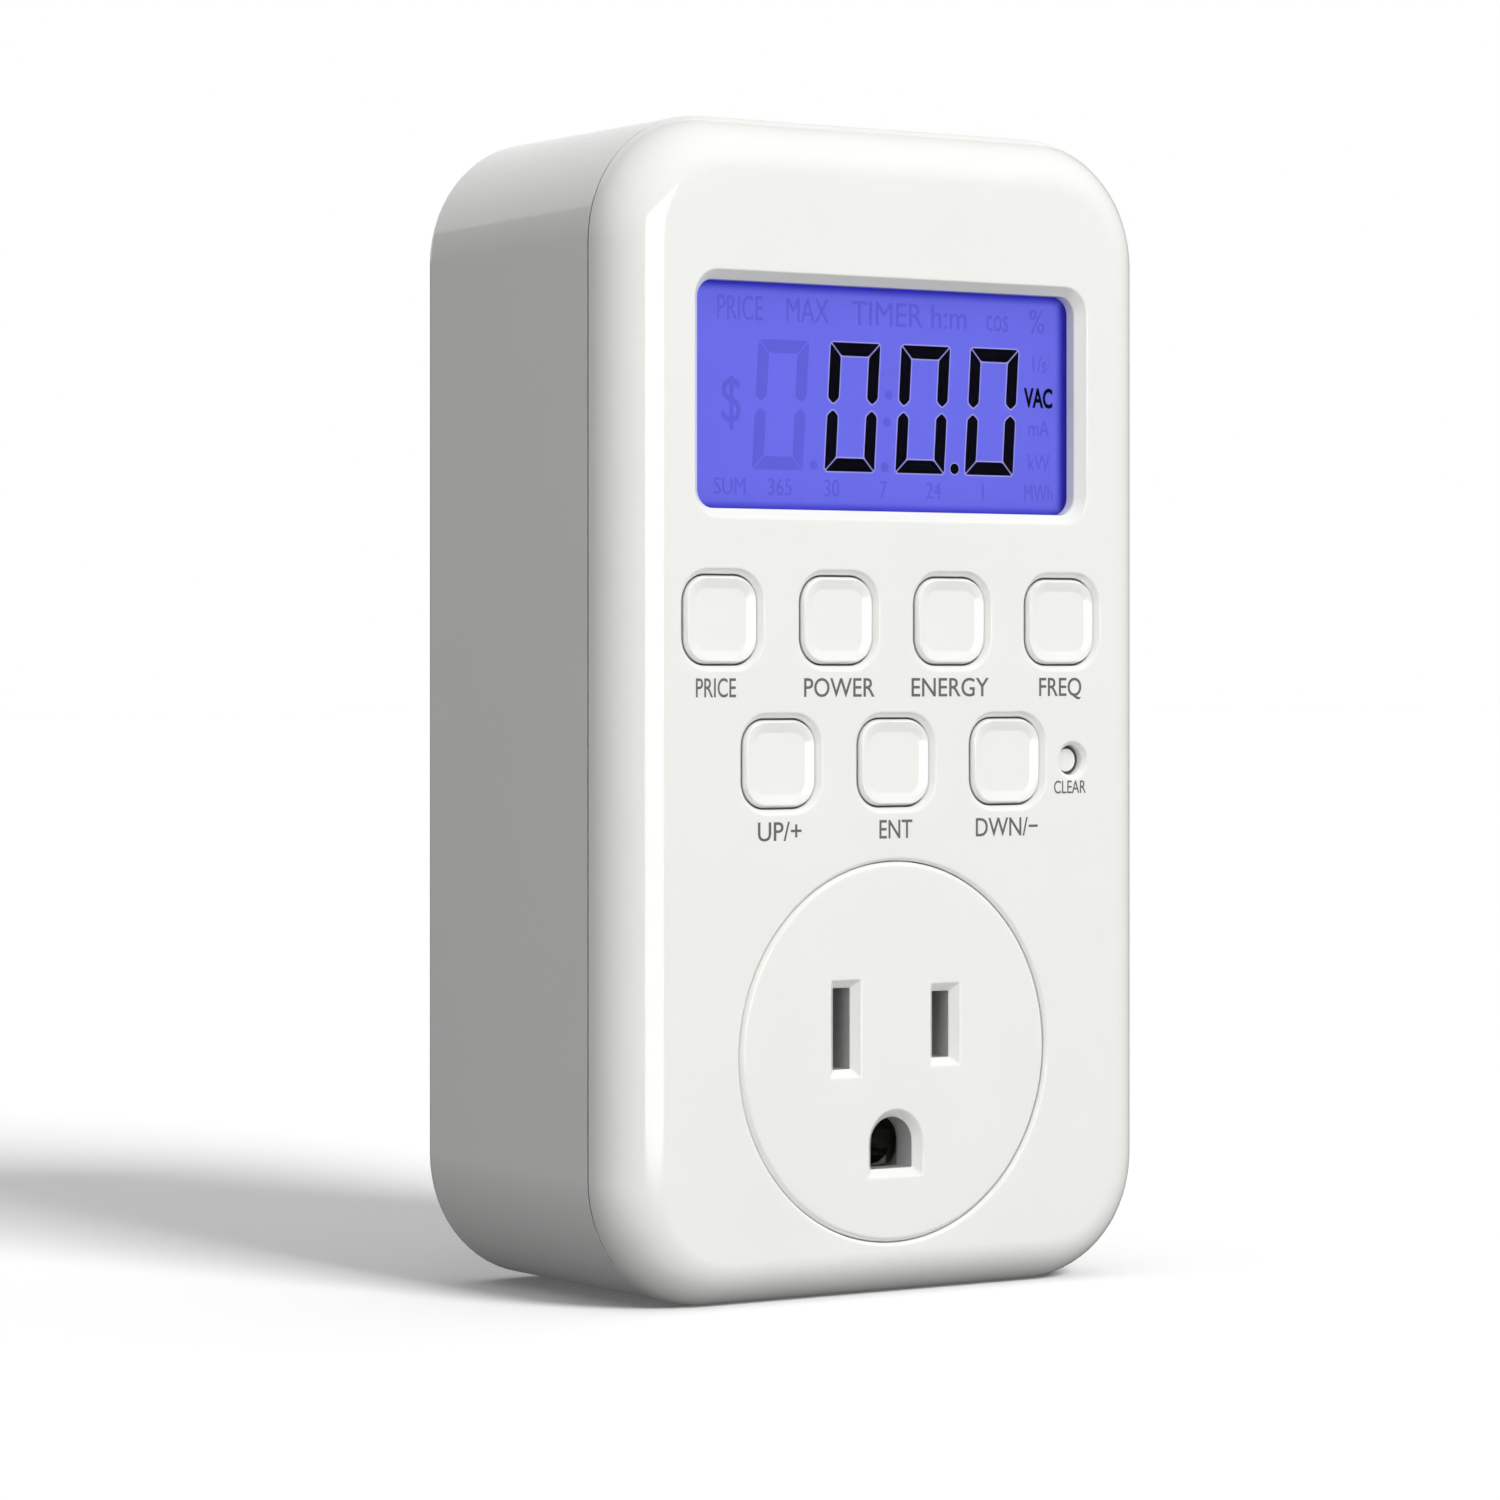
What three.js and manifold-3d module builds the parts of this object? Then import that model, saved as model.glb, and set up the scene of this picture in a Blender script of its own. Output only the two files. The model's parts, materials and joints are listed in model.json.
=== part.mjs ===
// Plug-in power meter: a white plastic case with a blue display, seven keys, a recessed reset
// button and a grounded outlet in front, and the matching grounded plug behind.
//
// Frame: millimetres, +Z up, the front faces -Y, and the origin is the middle of the bottom face.
// Everything is drawn as the front view shows it, in a group whose own axes are x to the right,
// y up and z towards the viewer, with z = 0 on the front face. A "depth" is a distance behind
// that face, so a point at depth d has z = -d.

import * as THREE from 'three';
import { mergeVertices } from 'three/addons/utils/BufferGeometryUtils.js';
import Module from 'manifold-3d';

const wasm = await Module();
wasm.setup();

// ---------------------------------------------------------------- driving dimensions, in mm

const CASE_WIDTH = 68;
const CASE_HEIGHT = 120;
const CASE_DEPTH = 37.3;
const CASE_CORNER = 13.2;
const CASE_TAPER = 0.5;
const WALL = 2;
const REAR_WALL = 2.2;
const FRONT_EDGE = 5.85;
const REAR_EDGE = 1.5;
const GAP = 0.3;
const TONGUE = { outer: 2.6, inner: 3.4, front: 4.7, back: 8 };

const BOSS_X = 26.2;
const BOSS_HEIGHTS = [9.8, 110.2];
const BOSS_RADIUS = 3;
const PILOT_RADIUS = 1.6;
const WELL_RADIUS = 3.3;
const WELL_WALL = 1;
const BOSS_END = 27;
const PILOT_BOTTOM = 12;
const WELL_SEAT = 29.3;
const CASE_SCREW = { length: 15.5, shank: 1.3, head: 2.8, headHeight: 1.7 };
const BOARD_SCREW = { length: 5.5, shank: 0.9, head: 1.8, headHeight: 1.2 };

const WINDOW = { width: 48.3, height: 22.9, radius: 1.9, chamfer: 1, y: 91.75 };
const WINDOW_GLASS = { width: 50.6, height: 24.6, near: 2.3, far: 3.3 };
const LCD_GLASS = { width: 51.2, height: 25.2, near: 3.6, far: 5.8 };
const LIGHT_GUIDE = { width: 47.6, height: 18.8, near: 6.1, far: 7.4 };
const LCD_FRAME = { width: 54.8, height: 28.4, wall: 1.3, near: 2.3, far: 7.7 };
const BACKLIGHT_LED = { x: 24.9, width: 1.6, height: 3.6, near: 6.2, far: 7.6 };
const CONTACT_STRIP = { half: 22, bottom: 79.9, top: 81.7, near: 6.1, far: 7.7 };

const KEY_PITCH = 14.5;
const KEY_ROWS = [69.1, 54.6];
const KEY_HOLE = 9.2;
const KEY_CORNER = 2.8;
const KEY_CHAMFER = 0.55;
const KEY_CLEARANCE = 0.2;
const KEY_FLANGE = 0.9;
const KEY_STEM_RADIUS = 1.6;
const KEY_STEM_END = 3.6;
const FLANGE_NEAR = 2.35;
const FLANGE_FAR = 3;
const RESET = { x: 23.2, y: KEY_ROWS[1], hole: 1.55, chamfer: 0.45, radius: 1.3, face: 0.9 };

const SWITCH_SIZE = 6;
const SWITCH_NEAR = 4.3;
const SWITCH_FAR = 7.7;
const PLUNGER = { radius: 1.7, clearance: 0.15, near: 3.9, far: 6.4, well: 7 };

const BOARD_THICKNESS = 1.6;
const DISPLAY_BOARD = { width: 58.4, bottom: 47, top: 106.2, near: 8 };
const POWER_BOARD = { width: 54, bottom: 44, top: 104, near: 30 };
const SCREW_POST = { x: 28, y: 75.4, radius: 1.7, hole: 1.2, holeBottom: 3.4 };
const PEG_POST = { x: 26.5, y: 49.2, radius: 1.7, peg: 0.8, tip: 10.4 };
const REAR_POST = { x: 23, heights: [48.5, 99.5], radius: 2.2, peg: 1 };

const OUTLET_Y = 25;
const OUTLET_HOLE = 19.5;
const OUTLET_CHAMFER = 0.35;
const OUTLET_FLANGE = 20.2;
const OUTLET_WEB = 0.9;
const OUTLET_POCKET = 15.6;
const OUTLET_BACK = 3.3;

const BLADE_X = 6.35;
const BLADE_Y = 27.55;
const GROUND_DROP = 11.9;
const GROUND_Y = BLADE_Y - GROUND_DROP;
const SLOT_WIDTH = 2.15;
const NEUTRAL_SLOT = 8.3;
const HOT_SLOT = 6.85;
const SLOT_CHAMFER = 0.85;
const GROUND_RADIUS = 2.65;

const HOUSING = { width: 25, bottom: 9.6, top: 35.6, chamberFront: 3.45, back: 16.5 };
const CHAMBER_WIDTH = 4.8;
const CHAMBER_HEIGHT = 10;
const GROUND_CHAMBER = 3.9;
const RETAINER_THICKNESS = 2;
const CONTACT_HEIGHT = 6.4;
const CONTACT_THICKNESS = 0.5;
const NEUTRAL_TAIL_END = 27.5;
const HOT_TAIL_END = 21.5;
const GROUND_TAIL_END = 27.5;
const TAIL_OFFSET = 1.3;

const BLADE_WIDTH = 6.35;
const BLADE_THICKNESS = 1.5;
const BLADE_LENGTH = 17.7;
const BLADE_SHOULDER = { width: 9, near: 33.2, far: 34.8 };
const BLADE_EYE = { radius: 1.6, distance: 11.6 };
const PIN_RADIUS = 2.375;
const PIN_LENGTH = 20.6;
const PIN_SHOULDER = 3.6;
const PIN_START = 22;
const NEUTRAL_TAB_START = 22;
const HOT_TAB_START = 26;
const CARRIER = { width: 26, bottom: 9.5, top: 34.5, near: 28.5, far: 32.9 };
const FIT = 0.3;

// How far joined solids run into each other, and how far cutters run past what they cut.
const OVERLAP = 0.5;
const CUT = 1;

// Straight pieces in a full turn, from the largest curves to the smallest.
const WIDE_ROUND = 40;
const POCKET_ROUND = 28;
const BORE_ROUND = 16;
const BUTTON_ROUND = 14;
const SMALL_ROUND = 12;

// Straight pieces in a quarter turn.
const CASE_CORNER_STEPS = 5;
const CORNER_STEPS = 3;
const SMALL_CORNER_STEPS = 2;

// ---------------------------------------------------------------- finishes

function finish(color, roughness, metalness = 0) {
  return () => new THREE.MeshStandardMaterial({ color, roughness, metalness });
}

const WHITE_CASE = finish(0xf0f0ec, 0.28);
const WHITE_KEY = finish(0xf2f2ee, 0.24);
const GREY_PLASTIC = finish(0x6c6c6c, 0.5);
const NATURAL_PLASTIC = finish(0xdad8cf, 0.5);
const BLACK_PLASTIC = finish(0x222222, 0.45);
const CLEAR_PLASTIC = finish(0xdfe6f5, 0.08);
const DISPLAY_BLUE = finish(0x6c6bec, 0.25);
const LIGHT_GUIDE_WHITE = finish(0xe8ecff, 0.3);
const BOARD_GREEN = finish(0x1f6b3a, 0.45);
const RUBBER_GREY = finish(0x9a9a9a, 0.8);
const BRASS = finish(0xc9a552, 0.3, 1);
const NICKEL = finish(0xc4c4c0, 0.28, 1);
const STEEL = finish(0xa9adb0, 0.35, 1);
const CAPACITOR_YELLOW = finish(0xd9a51e, 0.4);
const SLEEVE_BLUE = finish(0x1d3a7a, 0.35);
const SLEEVE_GREEN = finish(0x2f9a55, 0.4);
const VARISTOR_BLUE = finish(0x2456a8, 0.5);
const CABLE_GREY = finish(0xb8b8b8, 0.6);
const LEAD_BLACK = finish(0x1c1c1c, 0.5);
const LEAD_WHITE = finish(0xe6e6e6, 0.5);

// ---------------------------------------------------------------- solids

function toSolid(geometry) {
  const bare = geometry.clone();
  bare.deleteAttribute('normal');
  if (bare.getAttribute('uv')) {
    bare.deleteAttribute('uv');
  }
  const merged = mergeVertices(bare);
  return new wasm.Manifold(new wasm.Mesh({
    numProp: 3,
    vertProperties: new Float32Array(merged.getAttribute('position').array),
    triVerts: new Uint32Array(merged.getIndex().array),
  }));
}

function toGeometry(solid) {
  const mesh = solid.getMesh();
  const geometry = new THREE.BufferGeometry();
  geometry.setAttribute('position', new THREE.BufferAttribute(mesh.vertProperties, 3));
  geometry.setIndex(new THREE.BufferAttribute(mesh.triVerts, 1));
  geometry.computeVertexNormals();
  return geometry;
}

// Joins the first lists of geometries and cuts the second out of them.
function carve(joined, cut = []) {
  const whole = joined.map(toSolid).reduce((sum, solid) => sum.add(solid));
  return toGeometry(cut.map(toSolid).reduce((rest, solid) => rest.subtract(solid), whole));
}

// A closed skin over convex outlines with equal numbers of points, given from the back forwards.
function loft(sections) {
  const count = sections[0].outline.length;
  const positions = sections.flatMap(({ outline, depth }) => outline.flatMap((p) => [p.x, p.y, -depth]));
  const index = [];
  for (let ring = 0; ring < sections.length - 1; ring += 1) {
    for (let i = 0; i < count; i += 1) {
      const a = ring * count + i;
      const b = ring * count + ((i + 1) % count);
      index.push(a, b, b + count, a, b + count, a + count);
    }
  }
  const last = (sections.length - 1) * count;
  for (let i = 1; i < count - 1; i += 1) {
    index.push(0, i + 1, i, last, last + i, last + i + 1);
  }
  const geometry = new THREE.BufferGeometry();
  geometry.setAttribute('position', new THREE.Float32BufferAttribute(positions, 3));
  geometry.setIndex(index);
  geometry.computeVertexNormals();
  return geometry;
}

function prism(outline, near, far) {
  return loft([{ outline, depth: far }, { outline, depth: near }]);
}

// A cutter for an opening in the front face, with a 45 degree chamfer round its mouth.
function mouthCutter(outlineAt, chamfer, far) {
  const proud = 0.5;
  return loft([
    { outline: outlineAt(0), depth: far },
    { outline: outlineAt(0), depth: chamfer },
    { outline: outlineAt(chamfer + proud), depth: -proud },
  ]);
}

// ---------------------------------------------------------------- outlines in the front view

function arc(x, y, radius, start, end, segments) {
  return Array.from({ length: segments + 1 }, (_, i) => {
    const angle = THREE.MathUtils.degToRad(start + ((end - start) * i) / segments);
    return new THREE.Vector2(x + radius * Math.cos(angle), y + radius * Math.sin(angle));
  });
}

function circle(x, y, radius, segments) {
  return arc(x, y, radius, 0, 360, segments).slice(0, segments);
}

function roundedBox(left, right, bottom, top, radius, segments) {
  return [
    ...arc(right - radius, bottom + radius, radius, -90, 0, segments),
    ...arc(right - radius, top - radius, radius, 0, 90, segments),
    ...arc(left + radius, top - radius, radius, 90, 180, segments),
    ...arc(left + radius, bottom + radius, radius, 180, 270, segments),
  ];
}

function box(x, y, width, height) {
  return [
    new THREE.Vector2(x - width / 2, y - height / 2),
    new THREE.Vector2(x + width / 2, y - height / 2),
    new THREE.Vector2(x + width / 2, y + height / 2),
    new THREE.Vector2(x - width / 2, y + height / 2),
  ];
}

// The case outline, moved inwards by inset. The taper narrows the sides and the top only, so
// that the bottom stays flat and level to stand on.
function caseOutline(inset, depth) {
  const along = Math.max(0, (depth - FRONT_EDGE) / (CASE_DEPTH - FRONT_EDGE));
  const taper = CASE_TAPER * along;
  const half = CASE_WIDTH / 2 - inset - taper;
  return roundedBox(-half, half, inset, CASE_HEIGHT - inset - taper, CASE_CORNER - inset, CASE_CORNER_STEPS);
}

function caseSection(inset, depth) {
  return { outline: caseOutline(inset, depth), depth };
}

function displayOutline({ width, height, radius }, grow = 0) {
  const halfWidth = width / 2 + grow;
  const halfHeight = height / 2 + grow;
  const bottom = WINDOW.y - halfHeight;
  const top = WINDOW.y + halfHeight;
  return roundedBox(-halfWidth, halfWidth, bottom, top, radius + grow, CORNER_STEPS);
}

function keyOutline(grow) {
  const half = KEY_HOLE / 2 + grow;
  return roundedBox(-half, half, -half, half, KEY_CORNER + grow, CORNER_STEPS);
}

function groundOutline(grow) {
  const reach = GROUND_RADIUS + grow;
  return [
    new THREE.Vector2(-reach, GROUND_Y - reach),
    new THREE.Vector2(reach, GROUND_Y - reach),
    ...arc(0, GROUND_Y, reach, 0, 180, 8),
  ];
}

// ---------------------------------------------------------------- turned and bent shapes

// Turns a profile of [radius, depth] points about a front-to-back axis.
function turned(profile, segments) {
  const points = profile.map(([radius, depth]) => new THREE.Vector2(radius, -depth));
  return new THREE.LatheGeometry(points, segments).rotateX(Math.PI / 2);
}

function rod(x, y, radius, near, far, segments = SMALL_ROUND) {
  return turned([[0, far], [radius, far], [radius, near], [0, near]], segments).translate(x, y, 0);
}

function shapeOf(points) {
  return new THREE.Shape(points.map(([a, b]) => new THREE.Vector2(a, b)));
}

// Extrudes a shape drawn in (x, depth) upwards, centred on height y.
function bentStrip(shape, x, y, height) {
  const geometry = new THREE.ExtrudeGeometry(shape, { depth: height, bevelEnabled: false });
  return geometry.rotateX(-Math.PI / 2).translate(x, y - height / 2, 0);
}

// Extrudes a shape drawn in (depth, y) sideways, centred on x.
function sideStrip(shape, x, width) {
  const geometry = new THREE.ExtrudeGeometry(shape, { depth: width, bevelEnabled: false });
  return geometry.rotateY(Math.PI / 2).translate(x - width / 2, 0, 0);
}

// The outline of a strip of even thickness that follows a smooth line through the given points.
function strip(points, thickness, divisions) {
  const line = new THREE.SplineCurve(points.map(([a, b]) => new THREE.Vector2(a, b)));
  const side = (sign) => Array.from({ length: divisions + 1 }, (_, i) => {
    const t = i / divisions;
    const tangent = line.getTangent(t);
    const normal = new THREE.Vector2(-tangent.y, tangent.x).multiplyScalar((sign * thickness) / 2);
    return line.getPoint(t).add(normal);
  });
  return new THREE.Shape([...side(1), ...side(-1).reverse()]);
}

// ---------------------------------------------------------------- the model tree

const meter = new THREE.Group();
const frontView = new THREE.Group();
frontView.rotation.x = Math.PI / 2;
frontView.position.y = -CASE_DEPTH / 2;
meter.add(frontView);

function addPart(name, geometry, material, x = 0, y = 0) {
  const mesh = new THREE.Mesh(geometry, material());
  mesh.name = name;
  mesh.position.set(x, y, 0);
  frontView.add(mesh);
}

// ---------------------------------------------------------------- keys and their switches

const KEYS = [
  ...['cost', 'power', 'energy', 'frequency'].map((name, i) => (
    { name, x: (i - 1.5) * KEY_PITCH, y: KEY_ROWS[0] })),
  ...['volt', 'set', 'amp'].map((name, i) => (
    { name, x: (i - 1) * KEY_PITCH, y: KEY_ROWS[1] })),
];
const BUTTONS = [...KEYS, { name: 'reset', x: RESET.x, y: RESET.y }];

// A key cap: a flange behind the cover, a rounded edge up to a rim, and a shallow dished top.
function keyCap() {
  const side = -KEY_CLEARANCE;
  const profile = [
    [KEY_FLANGE, FLANGE_FAR],
    [KEY_FLANGE, FLANGE_NEAR],
    [side, FLANGE_NEAR],
    [side, 0.55],
    [side - 0.5, 0.05],
    [side - 1.6, 0.3],
  ];
  const cap = loft(profile.map(([grow, depth]) => ({ outline: keyOutline(grow), depth })));
  return carve([cap, rod(0, 0, KEY_STEM_RADIUS, FLANGE_NEAR + 0.3, KEY_STEM_END)]);
}

function resetCap() {
  return turned([
    [0, KEY_STEM_END],
    [KEY_STEM_RADIUS, KEY_STEM_END],
    [KEY_STEM_RADIUS, FLANGE_FAR],
    [RESET.hole + KEY_FLANGE, FLANGE_FAR],
    [RESET.hole + KEY_FLANGE, FLANGE_NEAR],
    [RESET.radius, FLANGE_NEAR],
    [RESET.radius, RESET.face + 0.15],
    [RESET.radius - 0.15, RESET.face],
    [0, RESET.face],
  ], BUTTON_ROUND);
}

function switchBody() {
  const half = SWITCH_SIZE / 2;
  const shell = prism(roundedBox(-half, half, -half, half, 0.5, 1), SWITCH_NEAR, SWITCH_FAR);
  const well = rod(0, 0, PLUNGER.radius + PLUNGER.clearance, SWITCH_NEAR - CUT, PLUNGER.well);
  return carve([shell], [well]);
}

function switchPlunger() {
  return turned([
    [0, PLUNGER.far],
    [PLUNGER.radius, PLUNGER.far],
    [PLUNGER.radius, PLUNGER.near + 0.2],
    [PLUNGER.radius - 0.2, PLUNGER.near],
    [0, PLUNGER.near],
  ], SMALL_ROUND);
}

const keyGeometry = keyCap();
const bodyGeometry = switchBody();
const plungerGeometry = switchPlunger();
KEYS.forEach(({ name, x, y }) => addPart(`key_${name}`, keyGeometry, WHITE_KEY, x, y));
addPart('reset_button', resetCap(), WHITE_KEY, RESET.x, RESET.y);
BUTTONS.forEach(({ name, x, y }) => {
  addPart(`switch_${name}`, bodyGeometry, STEEL, x, y);
  addPart(`plunger_${name}`, plungerGeometry, BLACK_PLASTIC, x, y);
});

// ---------------------------------------------------------------- case

const BOSSES = BOSS_HEIGHTS.flatMap((y) => [-BOSS_X, BOSS_X].map((x) => ({ x, y })));
const MIRRORED = [-1, 1];

// The rounded front shell: sections run round the edge fillet, from the rim to the face.
function coverSkin(wall, rim) {
  const steps = 4;
  const radius = FRONT_EDGE - wall;
  const fillet = Array.from({ length: steps + 1 }, (_, i) => {
    const angle = (Math.PI / 2) * (1 - i / steps);
    return caseSection(wall + radius * (1 - Math.sin(angle)), wall + radius * (1 - Math.cos(angle)));
  });
  return loft(rim > FRONT_EDGE ? [caseSection(wall, rim), ...fillet] : fillet);
}

function frontCover() {
  const embed = WALL - OVERLAP;
  const posts = [
    ...BOSSES.map(({ x, y }) => rod(x, y, BOSS_RADIUS, embed, BOSS_END)),
    ...MIRRORED.flatMap((side) => [
      rod(side * SCREW_POST.x, SCREW_POST.y, SCREW_POST.radius, embed, DISPLAY_BOARD.near - GAP),
      rod(side * PEG_POST.x, PEG_POST.y, PEG_POST.radius, embed, DISPLAY_BOARD.near - GAP),
      rod(side * PEG_POST.x, PEG_POST.y, PEG_POST.peg, DISPLAY_BOARD.near - CUT, PEG_POST.tip),
    ]),
  ];
  const pilots = [
    ...BOSSES.map(({ x, y }) => rod(x, y, PILOT_RADIUS, PILOT_BOTTOM, BOSS_END + CUT)),
    ...MIRRORED.map((side) => rod(
      side * SCREW_POST.x,
      SCREW_POST.y,
      SCREW_POST.hole,
      SCREW_POST.holeBottom,
      DISPLAY_BOARD.near + CUT,
    )),
  ];
  const through = WALL + CUT;
  const openings = [
    mouthCutter((grow) => displayOutline(WINDOW, grow), WINDOW.chamfer, through),
    mouthCutter((grow) => circle(0, OUTLET_Y, OUTLET_HOLE + grow, WIDE_ROUND), OUTLET_CHAMFER, through),
    mouthCutter((grow) => circle(RESET.x, RESET.y, RESET.hole + grow, BUTTON_ROUND), RESET.chamfer, through),
    ...KEYS.map(({ x, y }) => mouthCutter(keyOutline, KEY_CHAMFER, through).translate(x, y, 0)),
  ];
  const shell = carve([coverSkin(0, FRONT_EDGE)], [coverSkin(WALL, FRONT_EDGE + CUT)]);
  return carve([shell, ...posts], [...pilots, ...openings]);
}

function rearHousing() {
  const rim = FRONT_EDGE + GAP;
  const steps = 3;
  const rearEdge = Array.from({ length: steps + 1 }, (_, i) => {
    const angle = (Math.PI / 2) * (i / steps);
    return caseSection(REAR_EDGE * (1 - Math.sin(angle)), CASE_DEPTH - REAR_EDGE * (1 - Math.cos(angle)));
  });
  const skin = loft([...rearEdge, caseSection(0, rim)]);
  const floor = CASE_DEPTH - REAR_WALL;
  const cavity = loft([caseSection(WALL, floor), caseSection(WALL, rim - CUT)]);
  const tongue = loft([
    caseSection(WALL - OVERLAP, TONGUE.back),
    caseSection(WALL - OVERLAP, rim),
    caseSection(TONGUE.outer, rim),
    caseSection(TONGUE.outer, TONGUE.front),
  ]);
  const tongueBore = loft([
    caseSection(TONGUE.inner, TONGUE.back + CUT),
    caseSection(TONGUE.inner, TONGUE.front - CUT),
  ]);
  const ring = carve([tongue], [tongueBore]);
  const wells = BOSSES.map(({ x, y }) => (
    rod(x, y, WELL_RADIUS + WELL_WALL, BOSS_END + GAP, floor + OVERLAP, BORE_ROUND)));
  const posts = REAR_POST.heights.flatMap((y) => MIRRORED.flatMap((side) => [
    rod(side * REAR_POST.x, y, REAR_POST.radius, POWER_BOARD.near + BOARD_THICKNESS + GAP, floor + OVERLAP),
    rod(side * REAR_POST.x, y, REAR_POST.peg, POWER_BOARD.near - CUT, floor),
  ]));
  const holes = BOSSES.flatMap(({ x, y }) => [
    rod(x, y, WELL_RADIUS, WELL_SEAT, CASE_DEPTH + CUT, BORE_ROUND),
    rod(x, y, PILOT_RADIUS + 0.1, BOSS_END - CUT, WELL_SEAT + CUT),
  ]);
  const plugHoles = [
    ...MIRRORED.map((side) => prism(
      box(side * BLADE_X, BLADE_Y, BLADE_THICKNESS + 2 * FIT, BLADE_WIDTH + 2 * FIT),
      floor - CUT,
      CASE_DEPTH + CUT,
    )),
    rod(0, GROUND_Y, PIN_RADIUS + FIT, floor - CUT, CASE_DEPTH + CUT, BORE_ROUND),
  ];
  return carve([carve([skin], [cavity]), ring, ...wells, ...posts], [...holes, ...plugHoles]);
}

// A pan-head screw with a cross recess, its seat at the given depth and its tip towards the front.
function screw(seat, { length, shank, head, headHeight }) {
  const body = turned([
    [0, seat + headHeight],
    [head * 0.6, seat + headHeight],
    [head * 0.92, seat + headHeight * 0.6],
    [head, seat],
    [shank, seat],
    [shank, seat - length + shank],
    [0, seat - length],
  ], SMALL_ROUND);
  const deep = seat + headHeight * 0.35;
  const arm = 0.5;
  const arms = [[head, arm], [arm, head]].map(([width, height]) => (
    prism(box(0, 0, width, height), deep, seat + headHeight + CUT)));
  return carve([body], arms);
}

addPart('front_cover', frontCover(), WHITE_CASE);
addPart('rear_housing', rearHousing(), WHITE_CASE);

const caseScrew = screw(WELL_SEAT + GAP, CASE_SCREW);
const CORNER_NAMES = ['bottom_left', 'bottom_right', 'top_left', 'top_right'];
BOSSES.forEach(({ x, y }, i) => addPart(`case_screw_${CORNER_NAMES[i]}`, caseScrew, STEEL, x, y));

const behindDisplayBoard = DISPLAY_BOARD.near + BOARD_THICKNESS + GAP;
const boardScrew = screw(behindDisplayBoard, BOARD_SCREW);
['left', 'right'].forEach((name, i) => (
  addPart(`board_screw_${name}`, boardScrew, STEEL, MIRRORED[i] * SCREW_POST.x, SCREW_POST.y)));

// ---------------------------------------------------------------- display

function slab({ width, height, near, far }, radius) {
  return prism(displayOutline({ width, height, radius }), near, far);
}

function displayFrame() {
  const { width, height, wall, near, far } = LCD_FRAME;
  const bore = { width: width - 2 * wall, height: height - 2 * wall, radius: 0.6 };
  return carve(
    [slab(LCD_FRAME, 1.2)],
    [prism(displayOutline(bore), near - CUT, far + CUT)],
  );
}

function board({ width, bottom, top, near }, holes) {
  const far = near + BOARD_THICKNESS;
  const sheet = roundedBox(-width / 2, width / 2, bottom, top, 1.5, SMALL_CORNER_STEPS);
  const cuts = holes.map(([x, y, radius]) => rod(x, y, radius, near - CUT, far + CUT));
  return carve([prism(sheet, near, far)], cuts);
}

// A chip package with sloping sides and a small locating dimple on its outer face.
function chip(width, height, near, far, outward) {
  const slope = 0.25;
  const outer = outward > 0 ? far : near;
  const sections = [far, near].map((depth) => {
    const shrink = depth === outer ? slope : 0;
    return { outline: box(0, 0, width - 2 * shrink, height - 2 * shrink), depth };
  });
  const dimple = rod(width * 0.32, height * 0.3, 0.5, outer - 0.2, outer + 0.2, 8);
  return carve([loft(sections)], [dimple]);
}

function backlightLed() {
  const { x, width, height, near, far } = BACKLIGHT_LED;
  return prism(box(x, WINDOW.y, width, height), near, far);
}

// The conductive rubber strip between the display glass and its board.
function contactStrip() {
  const { half, bottom, top, near, far } = CONTACT_STRIP;
  return prism(roundedBox(-half, half, bottom, top, 0.4, 1), near, far);
}

addPart('display_window', slab(WINDOW_GLASS, 1.2), CLEAR_PLASTIC);
addPart('lcd_panel', slab(LCD_GLASS, 0.4), DISPLAY_BLUE);
addPart('backlight_panel', slab(LIGHT_GUIDE, 0.8), LIGHT_GUIDE_WHITE);
addPart('lcd_frame', displayFrame(), NATURAL_PLASTIC);
addPart('backlight_led', backlightLed(), LIGHT_GUIDE_WHITE);
addPart('contact_strip', contactStrip(), RUBBER_GREY);

addPart('display_board', board(DISPLAY_BOARD, MIRRORED.flatMap((side) => [
  [side * SCREW_POST.x, SCREW_POST.y, SCREW_POST.hole],
  [side * PEG_POST.x, PEG_POST.y, PEG_POST.peg + GAP],
])), BOARD_GREEN);
addPart('controller_chip', chip(11, 11, behindDisplayBoard, 11.5, 1), BLACK_PLASTIC, 0, 92);

// ---------------------------------------------------------------- outlet

function slotOutline(x, height) {
  return (grow) => box(x, BLADE_Y, SLOT_WIDTH + 2 * grow, height + 2 * grow);
}

const OUTLET_MOUTHS = [slotOutline(-BLADE_X, NEUTRAL_SLOT), slotOutline(BLADE_X, HOT_SLOT), groundOutline];

function outletFace() {
  const edge = OUTLET_HOLE - GAP;
  const disc = turned([
    [0, OUTLET_BACK],
    [OUTLET_FLANGE, OUTLET_BACK],
    [OUTLET_FLANGE, WALL + GAP],
    [edge, WALL + GAP],
    [edge, OUTLET_CHAMFER],
    [edge - OUTLET_CHAMFER, 0],
    [0, 0],
  ], WIDE_ROUND).translate(0, OUTLET_Y, 0);
  const pocket = rod(0, OUTLET_Y, OUTLET_POCKET, OUTLET_WEB, OUTLET_BACK + CUT, POCKET_ROUND);
  const mouths = OUTLET_MOUTHS.map((outlineAt) => mouthCutter(outlineAt, SLOT_CHAMFER, OUTLET_BACK));
  return carve([disc], [pocket, ...mouths]);
}

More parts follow.
